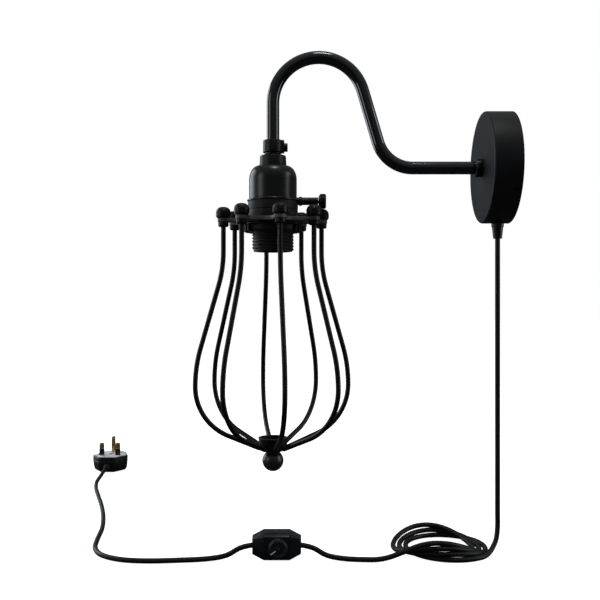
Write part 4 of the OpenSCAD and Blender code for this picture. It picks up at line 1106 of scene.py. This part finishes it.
# Plain bars and squares printed on the card: each is a centre, a size and a finish
cardMarks = [((-10.5, 7.5), (5.5, 0.7), "markGrey"), ((-11.5, 5.3), (5.5, 0.7), "markGrey"),
             ((-12.2, 0.5), (5.0, 0.7), "markGrey"), ((11.0, 7.8), (3.4, 0.7), "markGrey"),
             ((10.8, 5.2), (1.0, 2.6), "markRed"), ((13.2, 5.2), (1.0, 2.6), "markRed"),
             ((0, -4.5), (5.2, 0.7), "markRed"), ((0, -6.3), (3.6, 0.7), "markRed"),
             ((2.5, -18), (6.2, 0.6), "markGrey"), ((-15.5, -13), (1.4, 1.4), "markRed"),
             ((14.8, -13.6), (1.4, 1.4), "markRed")]
for tone in ("markGrey", "markRed"):
    bm = bmesh.new()
    for centre, size, markTone in cardMarks:
        if markTone == tone:
            box = bmesh.ops.create_cube(bm, size=1)["verts"]
            bmesh.ops.scale(bm, vec=Vector((*size, 0.06)) * mm, verts=box)
            bmesh.ops.translate(bm, vec=Vector((*centre, cardTop + 0.03)) * mm, verts=box)
    if tone == "markGrey":  # a round mark low on the card
        rim = bmesh.ops.create_cone(bm, cap_ends=True, segments=32, radius1=2 * mm,
                                    radius2=2 * mm, depth=0.06 * mm)["verts"]
        bmesh.ops.translate(bm, vec=Vector((-6.5, -17, cardTop + 0.03)) * mm, verts=rim)
    markName = "cardMarks" + tone[4:]
    mark = placed(markName, meshFrom(markName, bm, atPlug), finish[tone])
    belong(mark, "rose", "white_card")

# Each pin: its place, its two widths and its height above the plug's face
pinSpots = [("Earth", 0, q.earthY, 4, 8, 22.7),
            ("Left", -q.pitch / 2, lineY, 6.35, 4, 17.7),
            ("Right", q.pitch / 2, lineY, 6.35, 4, 17.7)]
pinPieces, sleevePieces = [], []
for label, x, y, across, along, tall in pinSpots:
    top = baseTop + tall
    sleeve = 0 if label == "Earth" else 0.3
    pin = softBlock("pin" + label, (x - across / 2 + sleeve, y - along / 2 + sleeve, baseTop - 3),
                    (x + across / 2 - sleeve, y + along / 2 - sleeve, top), 0.7,
                    finish["brassMetal"], atPlug)
    belong(pin, "rose", "brass_bush")
    pinPieces.append(pin)
    if sleeve:
        tip = softBlock("pinTip" + label, (x - across / 2, y - along / 2, baseTop + 9.6),
                        (x + across / 2, y + along / 2, top), 1.1, finish["brassMetal"], atPlug)
        belong(tip, "rose", "brass_bush")
        cover = softBlock("pinSleeve" + label, (x - across / 2, y - along / 2, baseTop - 1),
                          (x + across / 2, y + along / 2, baseTop + 9.5), 0.3,
                          finish["plugShell"], atPlug)
        belong(cover, "rose", "black_plastic")
        pinPieces.append(tip)
        sleevePieces.append(cover)
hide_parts("plug_pins")
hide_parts("pin_sleeves")

grommetSizes = Sizes(flange=5.0, body=4.4, tip=3.1, bore=2.42, root=3.6, length=13, exitY=-22)
grommetPlace = atPlug @ moved(0, grommetSizes.exitY, q.entryZ) @ turnedBy(90, "X")
q = grommetSizes
grommet = turned("plugStrainRelief", [
    (q.bore, -3, 0), (q.root, -3, 0), (q.root, 3.0, 0), (q.flange, 3.1, 0.3),
    (q.flange, 4.6, 0.3), (q.body, 4.8, 0.2), (q.body - 0.3, 8.4, 0.3),
    (q.tip + 0.3, 9.0, 0.3), (q.tip, q.length, 0.4), (q.bore, q.length, 0)],
    finish["plugShell"], grommetPlace, closed=True, sides=48)
belong(grommet, "rose", "black_plastic", "plug_grommet")
print("plug made")

# Finishes for the CAD nodes that are shown as they are
carried = {
    "zincSteel": ["wall_plate", "stop_washer", "stop_pin", "arm_nut", "holder_nut",
                  "holder_nipple", "key_shaft", "dimmer_screws", "plug_screw", "gland_nut"],
    "brassMetal": ["rose_bush", "arm_nipple", "centre_contact"],
    "plugShell": ["terminal_block"], "castBlack": ["rose_screws"],
    "cordSheath": ["supply_lead"], "coreSheath": ["arm_flex"],
    "porcelain": ["lamp_insert", "plug_fuse"],
    "boardGreen": ["dimmer_board", "dimmer_pot"],
}
for finishName, nodes in carried.items():
    for nodeName in nodes:
        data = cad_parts[nodeName].data
        data.materials.clear()
        data.materials.append(finish[finishName])
